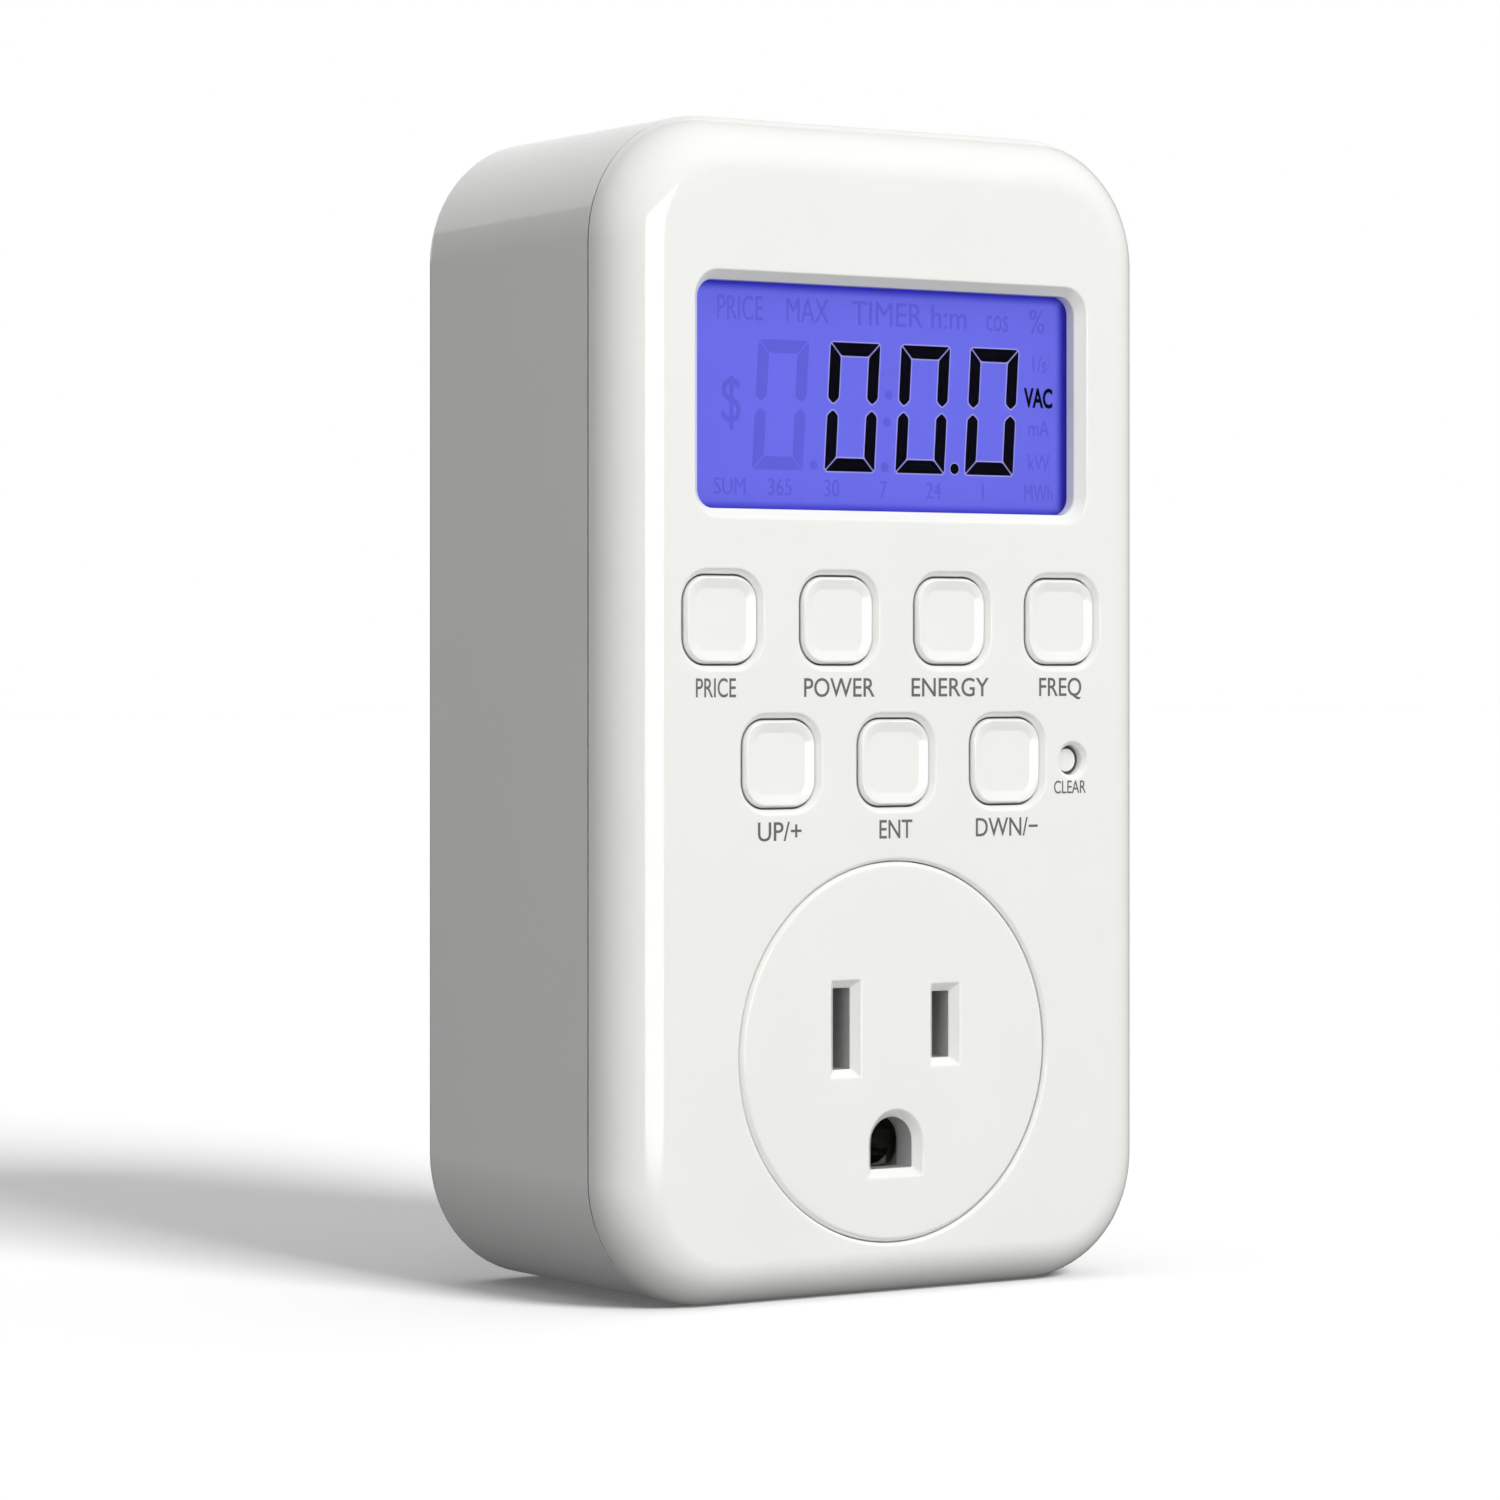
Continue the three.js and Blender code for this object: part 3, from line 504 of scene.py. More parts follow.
def metal(name, light, dark, gloss=(0.2, 0.36), along=(1, 0.05, 1)):
    """Drawn or rolled metal: fine lines along one direction, smudges and a slight tarnish."""
    nodes = Nodes(name)
    tarnish = nodes.ramp(nodes.noise(240, 5), 0, 1)
    nodes.link(nodes.blend(tarnish, light, dark), nodes.shader.inputs["Base Color"])
    lines = nodes.noise(5000, 3, stretch=along)
    smudge = nodes.noise(330, 4)
    mixed = nodes.add("ShaderNodeMix", data_type="FLOAT")
    mixed.inputs["Factor"].default_value = 0.4
    nodes.link(nodes.ramp(smudge, *gloss), mixed.inputs["A"])
    nodes.link(nodes.ramp(lines, *gloss), mixed.inputs["B"])
    nodes.link(mixed.outputs["Result"], nodes.shader.inputs["Roughness"])
    nodes.bump([(lines, SCRATCH)])
    nodes.set(Metallic=1.0)
    return nodes.material


def grey(value):
    return value, value, value


CASE_WHITE = plastic("case_white", (0.87, 0.877, 0.855), (0.85, 0.857, 0.835), gloss=(0.025, 0.055))
KEY_WHITE = plastic("key_white", (0.88, 0.887, 0.865), (0.865, 0.872, 0.85), gloss=(0.06, 0.1))
# Grey of inner parts, and painted shade: behind the outlet it stands in for the shade on the slots' deep
# walls.
GREY_PLASTIC_AND_SLOT_SHADE = plastic("grey_plastic", grey(0.52), grey(0.48), gloss=(0.4, 0.5))
# Painted shade: a dark material for the strip and rings that darken the seam and the key gaps.
PAINTED_GAP_SHADE = plastic("gap_shade_dark", grey(0.05), grey(0.04), gloss=(0.6, 0.75))
PRINT_GREY = plastic("print_grey", grey(0.1), grey(0.13), gloss=(0.4, 0.55))
NICKEL = metal("nickel_plate", (0.72, 0.7, 0.66), (0.6, 0.58, 0.54))
BRASS = metal("tinned_brass", (0.42, 0.41, 0.38), (0.3, 0.29, 0.26), gloss=(0.06, 0.2))
STEEL = metal("zinc_steel", (0.6, 0.61, 0.63), grey(0.5), gloss=(0.3, 0.5), along=(1, 1, 1))


def window_material():
    nodes = Nodes("clear_window")
    smear = nodes.noise(70, 4, stretch=(1, 1, 0.6))
    nodes.link(nodes.ramp(smear, 0.02, 0.05), nodes.shader.inputs["Roughness"])
    nodes.set(Base_Color=(0.97, 0.98, 1, 1), Transmission_Weight=1.0, IOR=1.18)
    return nodes.material


PAINT_SHARE = 0.58     # how much of a display layer's colour the room's light shows
GLOW_SHARE = 0.5       # how much of it shines by itself
UNSHADED_HALF = (24.15, 11.25)   # half the size of the display's part without painted edge shade, in mm
PAINTED_SHADE_SPAN = (-0.85, 0.35)    # where the painted edge shade starts and ends, from the edge of that part


def display_material(name, color, edge_shade=None):
    """A backlit layer that glows and also takes the room's light, a little unevenly."""
    nodes = Nodes(name)
    uneven = nodes.ramp(nodes.noise(60, 2), 0.97, 1.03)
    fine = nodes.ramp(nodes.noise(900, 3), 0, 1)
    paint = tuple(PAINT_SHARE * c for c in color)
    paints = nodes.blend(fine, paint, tuple(0.97 * c for c in paint))
    glows = nodes.blend(fine, color, tuple(0.98 * c for c in color))
    # Painted shade: the colours darken towards the display's edges, where the window's recess shades the
    # panel.
    if edge_shade:
        shade = painted_edge_shade(nodes)
        paints = nodes.shade(paints, shade, edge_shade)
        glows = nodes.shade(glows, shade, edge_shade)
    nodes.link(paints, nodes.shader.inputs["Base Color"])
    nodes.link(glows, nodes.shader.inputs["Emission Color"])
    strength = nodes.math("MULTIPLY", uneven, GLOW_SHARE)
    nodes.link(strength, nodes.shader.inputs["Emission Strength"])
    nodes.set(Roughness=0.5, Specular_IOR_Level=0.0)
    return nodes.material


def painted_edge_shade(nodes):
    """How far a point of the display lies into the painted shade along its edges, where the window's
    recess shades the panel, 0 to 1.
    """
    split = nodes.add("ShaderNodeSeparateXYZ")
    nodes.link(nodes.where, split.inputs["Vector"])
    centre = place(*WINDOW, 0)
    reaches = []
    for axis, middle_at, half in zip("XZ", (centre.x, centre.z), UNSHADED_HALF):
        offset = nodes.math("SUBTRACT", split.outputs[axis], middle_at)
        reaches.append(nodes.math("SUBTRACT", nodes.math("ABSOLUTE", offset), half * MM))
    reach = nodes.math("MAXIMUM", *reaches)
    fade = nodes.add("ShaderNodeMapRange")
    fade.interpolation_type = "SMOOTHSTEP"
    fade.inputs["From Min"].default_value = PAINTED_SHADE_SPAN[0] * MM
    fade.inputs["From Max"].default_value = PAINTED_SHADE_SPAN[1] * MM
    nodes.link(reach, fade.inputs["Value"])
    return fade.outputs["Result"]


WINDOW_CLEAR = window_material()
# Its last colour is painted shade, for the display's edges where the window's recess shades the panel.
DISPLAY_BLUE = display_material("display_blue", (0.12, 0.122, 0.62), (0.02, 0.019, 0.34))
DISPLAY_GHOST = display_material("display_ghost", (0.094, 0.096, 0.53))
DISPLAY_HALO = display_material("display_halo", (0.3, 0.28, 0.62))
DISPLAY_DARK = display_material("display_dark", (0.001, 0.001, 0.004))


# ------------------------------------------------------------------ front cover

def mouth(skin, outline_at, chamfer, far, lip):
    """A chamfered opening from the front face to far. Gives its rings on both flat faces."""
    profile = [(chamfer + lip, FACE), (chamfer, FACE), (0, FACE + chamfer), (0, far), (lip, far)]
    return skin.tube(outline_at, softened(profile))


def post(skin, centre, radius, end, hole, hole_end):
    """A post on the inside of the cover, with a blind hole in its end. Gives its foot's ring."""
    profile = [(radius + 0.3, WALL), (radius, WALL), (radius, end), (hole, end), (hole, hole_end)]
    foot, bottom = skin.tube(round_outline(centre, 0, 32), softened(profile, 0.15))
    skin.cap(bottom)
    return foot


def fillet(inset, reach, depth, drop, steps=14):
    """A rounded edge as (inset, depth), from the side to a face at the given depth."""
    angles = [math.radians(90 * i / steps) for i in range(steps + 1)]
    return [(inset + reach * (1 - math.cos(a)), depth + drop * (1 - math.sin(a))) for a in angles]


def front_cover():
    skin = Skin()
    corner = softened([(WALL - 0.1, SEAM), (0, SEAM), (0, FRONT_EDGE - 0.2)], CRISP)[1:-1]
    edge = fillet(0, FRONT_EDGE - FACE, FACE, FRONT_EDGE - FACE)
    rim, face = skin.tube(cover_outline, [(WALL, SEAM), *corner, *edge])
    inner_rim, inner_face = skin.tube(case_outline, fillet(WALL, 1.4, WALL, SEAM - WALL))
    skin.bridge(rim, inner_rim)
    openings = [
        (window_outline, WINDOW_CHAMFER, WINDOW_WALL),
        (round_outline(RESET, RESET_HOLE), RESET_CHAMFER, WALL),
        (round_outline(OUTLET, OUTLET_RADIUS + OUTLET_GAP, 128), 0.3, WALL),
        *((key_outline(centre), KEY_CHAMFER, WALL) for centre in KEYS.values()),
    ]
    front_loops, back_loops = [], []
    for outline_at, chamfer, far in openings:
        near_loop, far_loop = mouth(skin, outline_at, chamfer, far, lip=0.2)
        front_loops.append(near_loop)
        if far > WALL:      # a low frame stands round the opening, on the inside
            foot = skin.ring(outline_at(0.9, WALL), WALL)
            step = skin.ring(outline_at(0.6, far), far)
            skin.bridge(far_loop, step)
            skin.bridge(step, foot)
            far_loop = foot
        back_loops.append(far_loop)
    for centre in SCREWS.values():
        back_loops.append(post(skin, centre, radius=3, end=SCREW_POST, hole=1.6, hole_end=12))
    for node in ("board_screw_left", "board_screw_right"):
        back_loops.append(post(skin, middle(node), radius=1.7, end=7.7, hole=1.2, hole_end=3.4))
    skin.sheet(face, front_loops)
    skin.sheet(inner_face, back_loops)
    return make_object("front_cover_moulding", skin.bm, CASE_WHITE)


settle(front_cover(), "case", "case_white", "front_cover")


# ------------------------------------------------------------------ rear housing

def rear_housing():
    """The deep shell: its rim carries a tongue that reaches into the cover."""
    skin = Skin()
    rounding = reversed(fillet(0, REAR_EDGE, 0, REAR_EDGE, 8))
    edge = [(inset, CASE_DEPTH - depth) for inset, depth in rounding]
    rim = SEAM + SEAM_GAP
    outer, inner = TONGUE
    tongue = [(outer, rim + 0.2), (outer, TONGUE_TIP), (inner, TONGUE_TIP), (inner, TONGUE_ROOT)]
    wall = [(WALL, TONGUE_ROOT + 0.6), (WALL, 30)]
    steps = softened([(0, TONGUE_ROOT), (0, rim), (1.9, rim), *tongue, *wall], CRISP)[1:-1]
    floor_depth = CASE_DEPTH - REAR_WALL
    back, floor_edge = skin.tube(case_outline, [*edge, *steps, (WALL, floor_depth)])
    back_loops, floor_loops = [], []
    shoulder = SCREW_POST + 0.3
    well = softened([
        (WELL_RADIUS + 0.4, CASE_DEPTH), (WELL_RADIUS, CASE_DEPTH), (WELL_RADIUS, WELL_FLOOR),
        (1.7, WELL_FLOOR), (1.7, shoulder), (4, shoulder), (4, floor_depth)], 0.2)
    for centre in SCREWS.values():
        mouth_ring, foot = skin.tube(round_outline(centre, 0, 40), well)
        back_loops.append(mouth_ring)
        floor_loops.append(foot)
    plug_holes = (
        blade_hole(-BLADE_X),
        blade_hole(BLADE_X),
        round_outline((0, GROUND_UP), PIN_RADIUS + PLUG_CLEARANCE),
    )
    for outline_at in plug_holes:
        through = softened([(0.3, CASE_DEPTH), (0, CASE_DEPTH), (0, floor_depth), (0.3, floor_depth)])
        mouth_ring, foot = skin.tube(outline_at, through)
        back_loops.append(mouth_ring)
        floor_loops.append(foot)
    skin.sheet(back, back_loops)
    skin.sheet(floor_edge, floor_loops)
    return make_object("rear_housing_moulding", skin.bm, CASE_WHITE)


def blade_hole(x):
    def outline(grow, depth=0):
        margin = 2 * PLUG_CLEARANCE + 2 * grow
        width, height = BLADE_THICKNESS + margin, BLADE_HEIGHT + margin
        return centred_box((x, BLADE_UP), width, height, 0.15 + 0.5 * grow, 3)
    return outline


settle(rear_housing(), "case", "case_white", "rear_housing")


def seam_shadow_strip():
    """A dark strip between the two halves, just inside the seam: painted shade that darkens the seam line.
    """
    near, far = SEAM + 0.02, SEAM + SEAM_GAP - 0.02
    skin = Skin()
    skin.hoop(case_outline, 1.2, 0.1, near, far)
    return make_object("seam_shadow_strip", skin.bm, PAINTED_GAP_SHADE, weighted=False)


settle(seam_shadow_strip(), "case", "rubber_grey")


# ------------------------------------------------------------------ outlet

OUTLET_MOUTHS = (
    slot_outline(-BLADE_X, NEUTRAL_SLOT),
    slot_outline(BLADE_X, HOT_SLOT),
    ground_outline,
)
WEB = FACE + SLOT_CHAMFER + 0.05     # depth of the insert's back, behind the slots
INSERT_CHAMFER = 0.4
FLANGE = (2.1, 3.3)                  # depths of the insert's flange, behind the cover


def outlet_face():
    skin = Skin()
    disc = round_outline(OUTLET, OUTLET_RADIUS - OUTLET_GAP, 128)
    edge = softened([
        (-2 * INSERT_CHAMFER, FACE), (-INSERT_CHAMFER, FACE), (0, FACE + INSERT_CHAMFER), (0, FLANGE[0]),
        (0.7, FLANGE[0]), (0.7, FLANGE[1]), (-3.9, FLANGE[1]), (-3.9, WEB), (-4.3, WEB)])
    face, back = skin.tube(disc, edge)
    loops = [mouth(skin, outline_at, SLOT_CHAMFER, WEB, lip=0.25) for outline_at in OUTLET_MOUTHS]
    skin.sheet(face, [near for near, far in loops])
    skin.sheet(back, [far for near, far in loops])
    return make_object("outlet_face_moulding", skin.bm, CASE_WHITE)


def contact_housing():
    """The grey moulding behind the face: a round plate on a block, with a chamber for each contact. Its
    grey is painted shade for the slots' deep walls.
    """
    plate_front, plate_back = WEB + 0.04, 4.1
    block_front, block_back = 3.6, 16.5
    plate = circle(OUTLET, 15.3, 96)
    housing = prism("contact_housing_moulding", plate, plate_front, plate_back, GREY_PLASTIC_AND_SLOT_SHADE)
    block = prism("block", centred_box((0, 22.6), 25, 26, 2.5, 8), block_front, block_back, GREY_PLASTIC_AND_SLOT_SHADE)
    combine(housing, block, "UNION")
    slot_chambers = [centred_box((x, BLADE_UP), 4.8, 10, 0.12, 3) for x in (-BLADE_X, BLADE_X)]
    chambers = [*slot_chambers, circle((0, GROUND_UP), 3.9, 40)]
    for outline_at, chamber, wall_end in zip(OUTLET_MOUTHS, chambers, (4.3, 4.3, 3.45)):
        combine(housing, prism("mouth", outline_at(0), 0, wall_end + 0.5, GREY_PLASTIC_AND_SLOT_SHADE))
        combine(housing, prism("chamber", chamber, wall_end, block_back + 0.5, GREY_PLASTIC_AND_SLOT_SHADE))
    housing.data.set_sharp_from_angle(angle=math.radians(SHARP_ANGLE))
    return housing


settle(outlet_face(), "case", "case_white", "outlet_face")
settle(contact_housing(), "case", "grey_plastic", "contact_housing")


# ------------------------------------------------------------------ keys

KEY_SIDE = -0.19       # the key's clearance in its hole
RIM_INSET = -0.4
RIM_DEPTH = 0.08
DISH_INSET = -1.42
DISH_DEPTH = 0.34
CAP_FLANGE = (2.35, 3) # depths of the flange that keeps a cap behind the cover
STEM_RADIUS = 1.6
STEM_END = 3.6         # depth at which a cap's stem meets its switch
RESET_RADIUS = 1.2
RESET_TOP = 1.12


def key_profile():
    """(grow, depth) from the flange, up the bevel to the rim, and down into the dished top."""
    near, far = CAP_FLANGE
    inner_rim = (RIM_INSET - 0.5, 0.14)
    flange = softened([(0.7, far), (0.9, far), (0.9, near), (KEY_SIDE, near), (KEY_SIDE, 1.2)])
    bevel = softened([(KEY_SIDE, 1), (KEY_SIDE, 0.58), (RIM_INSET, RIM_DEPTH), inner_rim], 0.1, 4)
    slope = softened([inner_rim, (DISH_INSET, DISH_DEPTH), (DISH_INSET - 0.9, DISH_DEPTH)], 0.16, 4)
    return [*flange, *bevel[1:-1], *slope[1:]]


def key_cap(name, centre):
    skin = Skin()
    flange, top = skin.tube(key_outline(centre), key_profile())
    root = CAP_FLANGE[1]
    stem = softened([(0.3, root), (0, root), (0, STEM_END), (-0.5, STEM_END)])
    foot, tip = skin.tube(round_outline(centre, STEM_RADIUS, 32), stem)
    skin.cap(top, tip)
    skin.sheet(flange, [foot])
    return make_object(f"key_{name}_cap", skin.bm, KEY_WHITE, sharp=40)


for key_name, key_centre in KEYS.items():
    settle(key_cap(key_name, key_centre), f"key_{key_name}", "key_white", f"key_{key_name}")


def reset_cap():
    near, far = CAP_FLANGE
    profile = [(0.9, STEM_END), (STEM_RADIUS, STEM_END), (STEM_RADIUS, far), (2.45, far), (2.45, near),
               (RESET_RADIUS, near), (RESET_RADIUS, RESET_TOP), (0.5, RESET_TOP + 0.03)]
    return turned("reset_button_cap", RESET, softened(profile, 0.1), KEY_WHITE)


settle(reset_cap(), "reset_button", "key_white", "reset_button")


def gap_shadow_rings():
    """Dark rings in the gaps round the keys and the reset button: painted shade that darkens the gap
    lines.
    """
    skin = Skin()
    rings = [(key_outline(centre), KEY_SIDE, 0.75) for centre in KEYS.values()]
    rings.append((round_outline(RESET, RESET_HOLE), RESET_RADIUS - RESET_HOLE, 1.25))
    for outline_at, cap_side, near in rings:
        skin.hoop(outline_at, -0.02, cap_side + 0.03, near, near + 0.2)
    return make_object("gap_shadow_rings", skin.bm, PAINTED_GAP_SHADE, weighted=False)


settle(gap_shadow_rings(), "case", "rubber_grey")


# ------------------------------------------------------------------ display

DISPLAY_LEVEL = 3.35
INK = 0.02             # thickness of the print and of each layer of the display
CAP_SHARE = 0.73       # height of a capital in the built-in font, as a share of its size


def slab(name, size, levels, radius, soft, material):
    """A flat plate behind the display's opening, with softened edges."""
    (width, height), (near, far) = size, levels

    def outline(grow, level=0):
        return centred_box(WINDOW, width + 2 * grow, height + 2 * grow, radius + grow, 6)
    profile = softened([(-2 * soft, near), (0, near), (0, far), (-2 * soft, far)], soft)
    skin = Skin()
    skin.cap(*skin.tube(outline, profile))
    return make_object(name, skin.bm, material)


def flat_shapes(name, outlines, level, material):
    """Thin raised shapes, such as display segments, that face the front."""
    bm = bmesh.new()
    for outline in outlines:
        near = [bm.verts.new(place(x, up, level - INK)) for x, up in outline]
        far = [bm.verts.new(place(x, up, level)) for x, up in outline]
        bm.faces.new(near)
        bm.faces.new(far)
        for i in range(len(outline)):
            j = (i + 1) % len(outline)
            bm.faces.new((near[i], near[j], far[j], far[i]))
    return make_object(name, bm, material, weighted=False)


def lettering(name, words, level, material, weight=0.0):
    """Words as thin raised shapes: (text, x, up, cap height, width share), centred on x."""
    bm = bmesh.new()
    for text, x, up, cap, squeeze in words:
        curve = bpy.data.curves.new("word", "FONT")
        curve.body = text
        curve.align_x = "CENTER"
        curve.size = 1
        curve.extrude = 0.5
        curve.resolution_u = 4
        curve.offset = weight
        source = bpy.data.objects.new("word", curve)
        bpy.context.scene.collection.objects.link(source)
        graph = bpy.context.evaluated_depsgraph_get()
        mesh = bpy.data.meshes.new_from_object(source.evaluated_get(graph))
        scale = cap / CAP_SHARE
        for vert in mesh.vertices:
            a, b, c = vert.co
            vert.co = place(x + a * scale * squeeze, up + b * scale, level - INK * (c + 0.5))
        bm.from_mesh(mesh)
        bpy.data.objects.remove(source)
        bpy.data.curves.remove(curve)
        bpy.data.meshes.remove(mesh)
    return make_object(name, bm, material, weighted=False)


DIGIT_HEIGHT = 13.2
DIGIT_WIDTH = 6.32
DIGIT_BASE = 84.38
DIGIT_PITCH = 9.06
DIGIT_START = -6.82
DIGIT_SLANT = 0.062
SEGMENT = 1.36
SEGMENT_GAP = 0.11
SEGMENT_ROUND = 0.22
POINT_SIDE = 1.35      # the decimal point stands this far left of its digit
POINT_UP = 84.95


def digit_segments(left, spread=0.0):
    """The six outer segments of a leaning digit."""
    right, top = left + DIGIT_WIDTH, DIGIT_HEIGHT
    half, bar, gap = DIGIT_HEIGHT / 2, SEGMENT, SEGMENT_GAP
    base = [(left + bar + gap, bar), (left + gap, 0), (right - gap, 0), (right - bar - gap, bar)]
    side = [(left, gap), (left + bar, bar + gap), (left + bar, half - 0.9),
            (left + bar / 2, half - 0.32), (left, half - 0.9)]
    other_side = [(left + right - x, y) for x, y in reversed(side)]
    shapes = []
    for lower in (base, side, other_side):
        shapes.append(lower)
        shapes.append([(x, top - y) for x, y in reversed(lower)])
    leaning = []
    for shape in shapes:
        outline = grown(rounded(shape, SEGMENT_ROUND), spread)
        leaning.append([(x + y * DIGIT_SLANT, DIGIT_BASE + y) for x, y in outline])
    return leaning


def point_before(left, radius):
    return circle((left - POINT_SIDE, POINT_UP), radius, 20)


def colon_before(left, radius):
    """The two dots of a clock's colon, on the digits' slant."""
    heights = (5.2, 8.0)
    x = left - POINT_SIDE
    return [circle((x + y * DIGIT_SLANT, DIGIT_BASE + y), radius, 20) for y in heights]


def row_of_words(up, cap, *words):
    return [(text, x, up, cap, squeeze) for text, x, squeeze in words]


UNIT_X = 21.1
LIT_UNIT = [("VAC", UNIT_X, 91.65, 2.05, 0.68)]
DISPLAY_WORDS = [
    *row_of_words(99.45, 2.6, ("PRICE", -17.4, 0.64), ("MAX", -9.0, 0.72), ("TIMER h:m", 4.2, 0.94),
                  ("cos", 15.6, 0.62), ("%", 20.9, 0.9)),
    ("1/s", UNIT_X, 95.3, 1.8, 0.8),
    ("mA", UNIT_X, 88.6, 1.8, 0.8),
    ("kW", UNIT_X, 85.0, 1.8, 0.8),
    ("MWh", UNIT_X, 81.8, 1.8, 0.7),
    ("$", -18.5, 89.1, 4.9, 0.78),
    *row_of_words(81.8, 1.8, ("SUM", -18.6, 0.85), ("365", -12.4, 0.85), ("30", -5.9, 0.85),
                  ("7", 0.7, 0.85), ("24", 7.2, 0.85), ("1", 13.7, 0.85)),
]
KEY_WORDS = [
    *row_of_words(61.35, 2.0, ("PRICE", -22.6, 0.72), ("POWER", -7.3, 0.95), ("ENERGY", 6.9, 1.0),
                  ("FREQ", 21.5, 0.9)),
    *row_of_words(46.85, 2.0, ("UP/+", -14.7, 1.0), ("ENT", -0.1, 0.85), ("DWN/−", 14.4, 0.9)),
    ("CLEAR", 22.8, 51.15, 1.4, 0.76),
]


def display():
    """The blue panel, the window before it, and the layers of segments and words between them."""
    panel = slab("lcd_panel_glass", (51.2, 25.2), (DISPLAY_LEVEL, 5.8), 0.4, 0.12, DISPLAY_BLUE)
    window = slab("display_window_sheet", (50.6, 24.6), (2.3, 3.2), 1.2, 0.08, WINDOW_CLEAR)
    settle(panel, "case", "display_blue", "lcd_panel")
    settle(window, "case", "clear_window", "display_window")
    upper_level = DISPLAY_LEVEL - INK
    lefts = [DIGIT_START + i * DIGIT_PITCH for i in range(3)]
    lit = [shape for left in lefts for shape in digit_segments(left)]
    halos = [shape for left in lefts for shape in digit_segments(left, spread=0.13)]
    unlit = digit_segments(DIGIT_START - DIGIT_PITCH)
    unlit += [point_before(left, 0.5) for left in lefts[:2]]
    unlit += colon_before(lefts[1], 0.5)
    layers = (
        ("lcd_segments_lit", [*lit, point_before(lefts[2], 0.56)], upper_level, DISPLAY_DARK),
        ("lcd_segments_outline", [*halos, point_before(lefts[2], 0.66)], DISPLAY_LEVEL, DISPLAY_HALO),
        ("lcd_segments_unlit", unlit, DISPLAY_LEVEL, DISPLAY_GHOST),
    )
    for layer in layers:
        settle(flat_shapes(*layer), "case", "display_blue")
    words = lettering("lcd_units_unlit", DISPLAY_WORDS, DISPLAY_LEVEL, DISPLAY_GHOST)
    unit = lettering("lcd_unit_lit", LIT_UNIT, upper_level, DISPLAY_DARK, weight=0.026)
    settle(words, "case", "display_blue")
    settle(unit, "case", "display_blue")


display()
settle(lettering("key_print", KEY_WORDS, FACE, PRINT_GREY, weight=0.005), "case", "case_white")


# ------------------------------------------------------------------ plug

def plug_blade(node):
    """A flat blade with an eye, drawn from the side: its outline is in (depth, up)."""
    x = middle(node)[0]
    root = depth_of(node)[0]
    tip = CASE_DEPTH + BLADE_LENGTH
    half, wide = BLADE_HEIGHT / 2, 4.5
    near, far = COLLAR
    upper = [(root, half), (near, half), (near, wide), (far, wide), (far, half), (tip - 2.4, half),
             (tip - 0.8, half - 0.5), (tip, half - 1.5)]
    outline = [(depth, BLADE_UP - up) for depth, up in upper]
    outline += [(depth, BLADE_UP + up) for depth, up in reversed(upper)]
    smooth = rounded(outline, 0.6, 4)
    left_side, right_side = x - BLADE_THICKNESS / 2, x + BLADE_THICKNESS / 2

    def across(grow):
        return [(grow, left_side), (0, left_side), (0, right_side), (grow, right_side)]
    skin = Skin(place_sideways)
    left, right = skin.tube(lambda grow, level: grown(smooth, grow), softened(across(-0.25), 0.22, 4))
    eye = round_outline((CASE_DEPTH + 11.6, BLADE_UP), 1.6, 32)
    eye_left, eye_right = skin.tube(eye, softened(across(0.25), 0.15))
    skin.sheet(left, [eye_left])
    skin.sheet(right, [eye_right])
    return make_object(f"{node}_plated", skin.bm, NICKEL)


for blade in ("neutral_blade", "hot_blade"):
    settle(plug_blade(blade), "case", "nickel_plate", blade)


def ground_pin():
    """A round pin with a domed nose, held by a collar behind the rear wall."""
    near, far = COLLAR
    tip = CASE_DEPTH + PIN_LENGTH
    nose_length, collar = 3, 3.6
    shank = [(1.9, PIN_ROOT), (PIN_RADIUS, PIN_ROOT), (PIN_RADIUS, near), (collar, near), (collar, far),
             (PIN_RADIUS, far), (PIN_RADIUS, tip - nose_length - 1)]
    angles = [math.radians(degrees) for degrees in range(0, 85, 7)]
    nose = [(PIN_RADIUS * math.cos(a), tip - nose_length * (1 - math.sin(a))) for a in angles]
    return turned("ground_pin_plated", (0, GROUND_UP), [*softened(shank, 0.2), *nose], NICKEL, 56)


settle(ground_pin(), "case", "nickel_plate", "ground_pin")


def case_screw(node, centre):
    """A pan head with a cross recess, and its shank."""
    seat, shank = SCREW_SEAT, 1.3
    profile = [(0.7, seat - 15.5), (shank, seat - 14.6), (shank, seat), (2.8, seat), (2.75, seat + 0.7),
               (2.3, seat + 1.3), (1.4, seat + 1.62), (0.4, seat + 1.7)]
    screw = turned(f"{node}_turned", centre, softened(profile, 0.25), STEEL, 40)
    long, narrow = 3.1, 0.62
    for width, height in ((long, narrow), (narrow, long)):
        recess = centred_box(centre, width, height, 0.1, 2)
        combine(screw, prism("recess", recess, seat + 0.5, seat + 3, STEEL))
    screw.data.set_sharp_from_angle(angle=math.radians(SHARP_ANGLE))
    return screw


for screw_node, screw_centre in SCREWS.items():
    settle(case_screw(screw_node, screw_centre), "case", "steel_screw", screw_node)


# ------------------------------------------------------------------ inner parts

def board_material():
    """Green solder mask over copper tracks that show as slightly raised, lighter lines."""
    nodes = Nodes("board_green")
    tracks = nodes.add("ShaderNodeTexBrick")
    tracks.inputs["Scale"].default_value = 420
    tracks.inputs["Mortar Size"].default_value = 0.03
    nodes.link(nodes.where, tracks.inputs["Vector"])
    mask = nodes.blend(tracks.outputs["Fac"], (0.012, 0.12, 0.045), (0.03, 0.22, 0.08))
    nodes.link(mask, nodes.shader.inputs["Base Color"])
    nodes.link(nodes.ramp(nodes.noise(300, 4), 0.3, 0.45), nodes.shader.inputs["Roughness"])
    nodes.bump([(tracks.outputs["Fac"], 0.01), (nodes.noise(3000, 2), 0.002)])
    return nodes.material


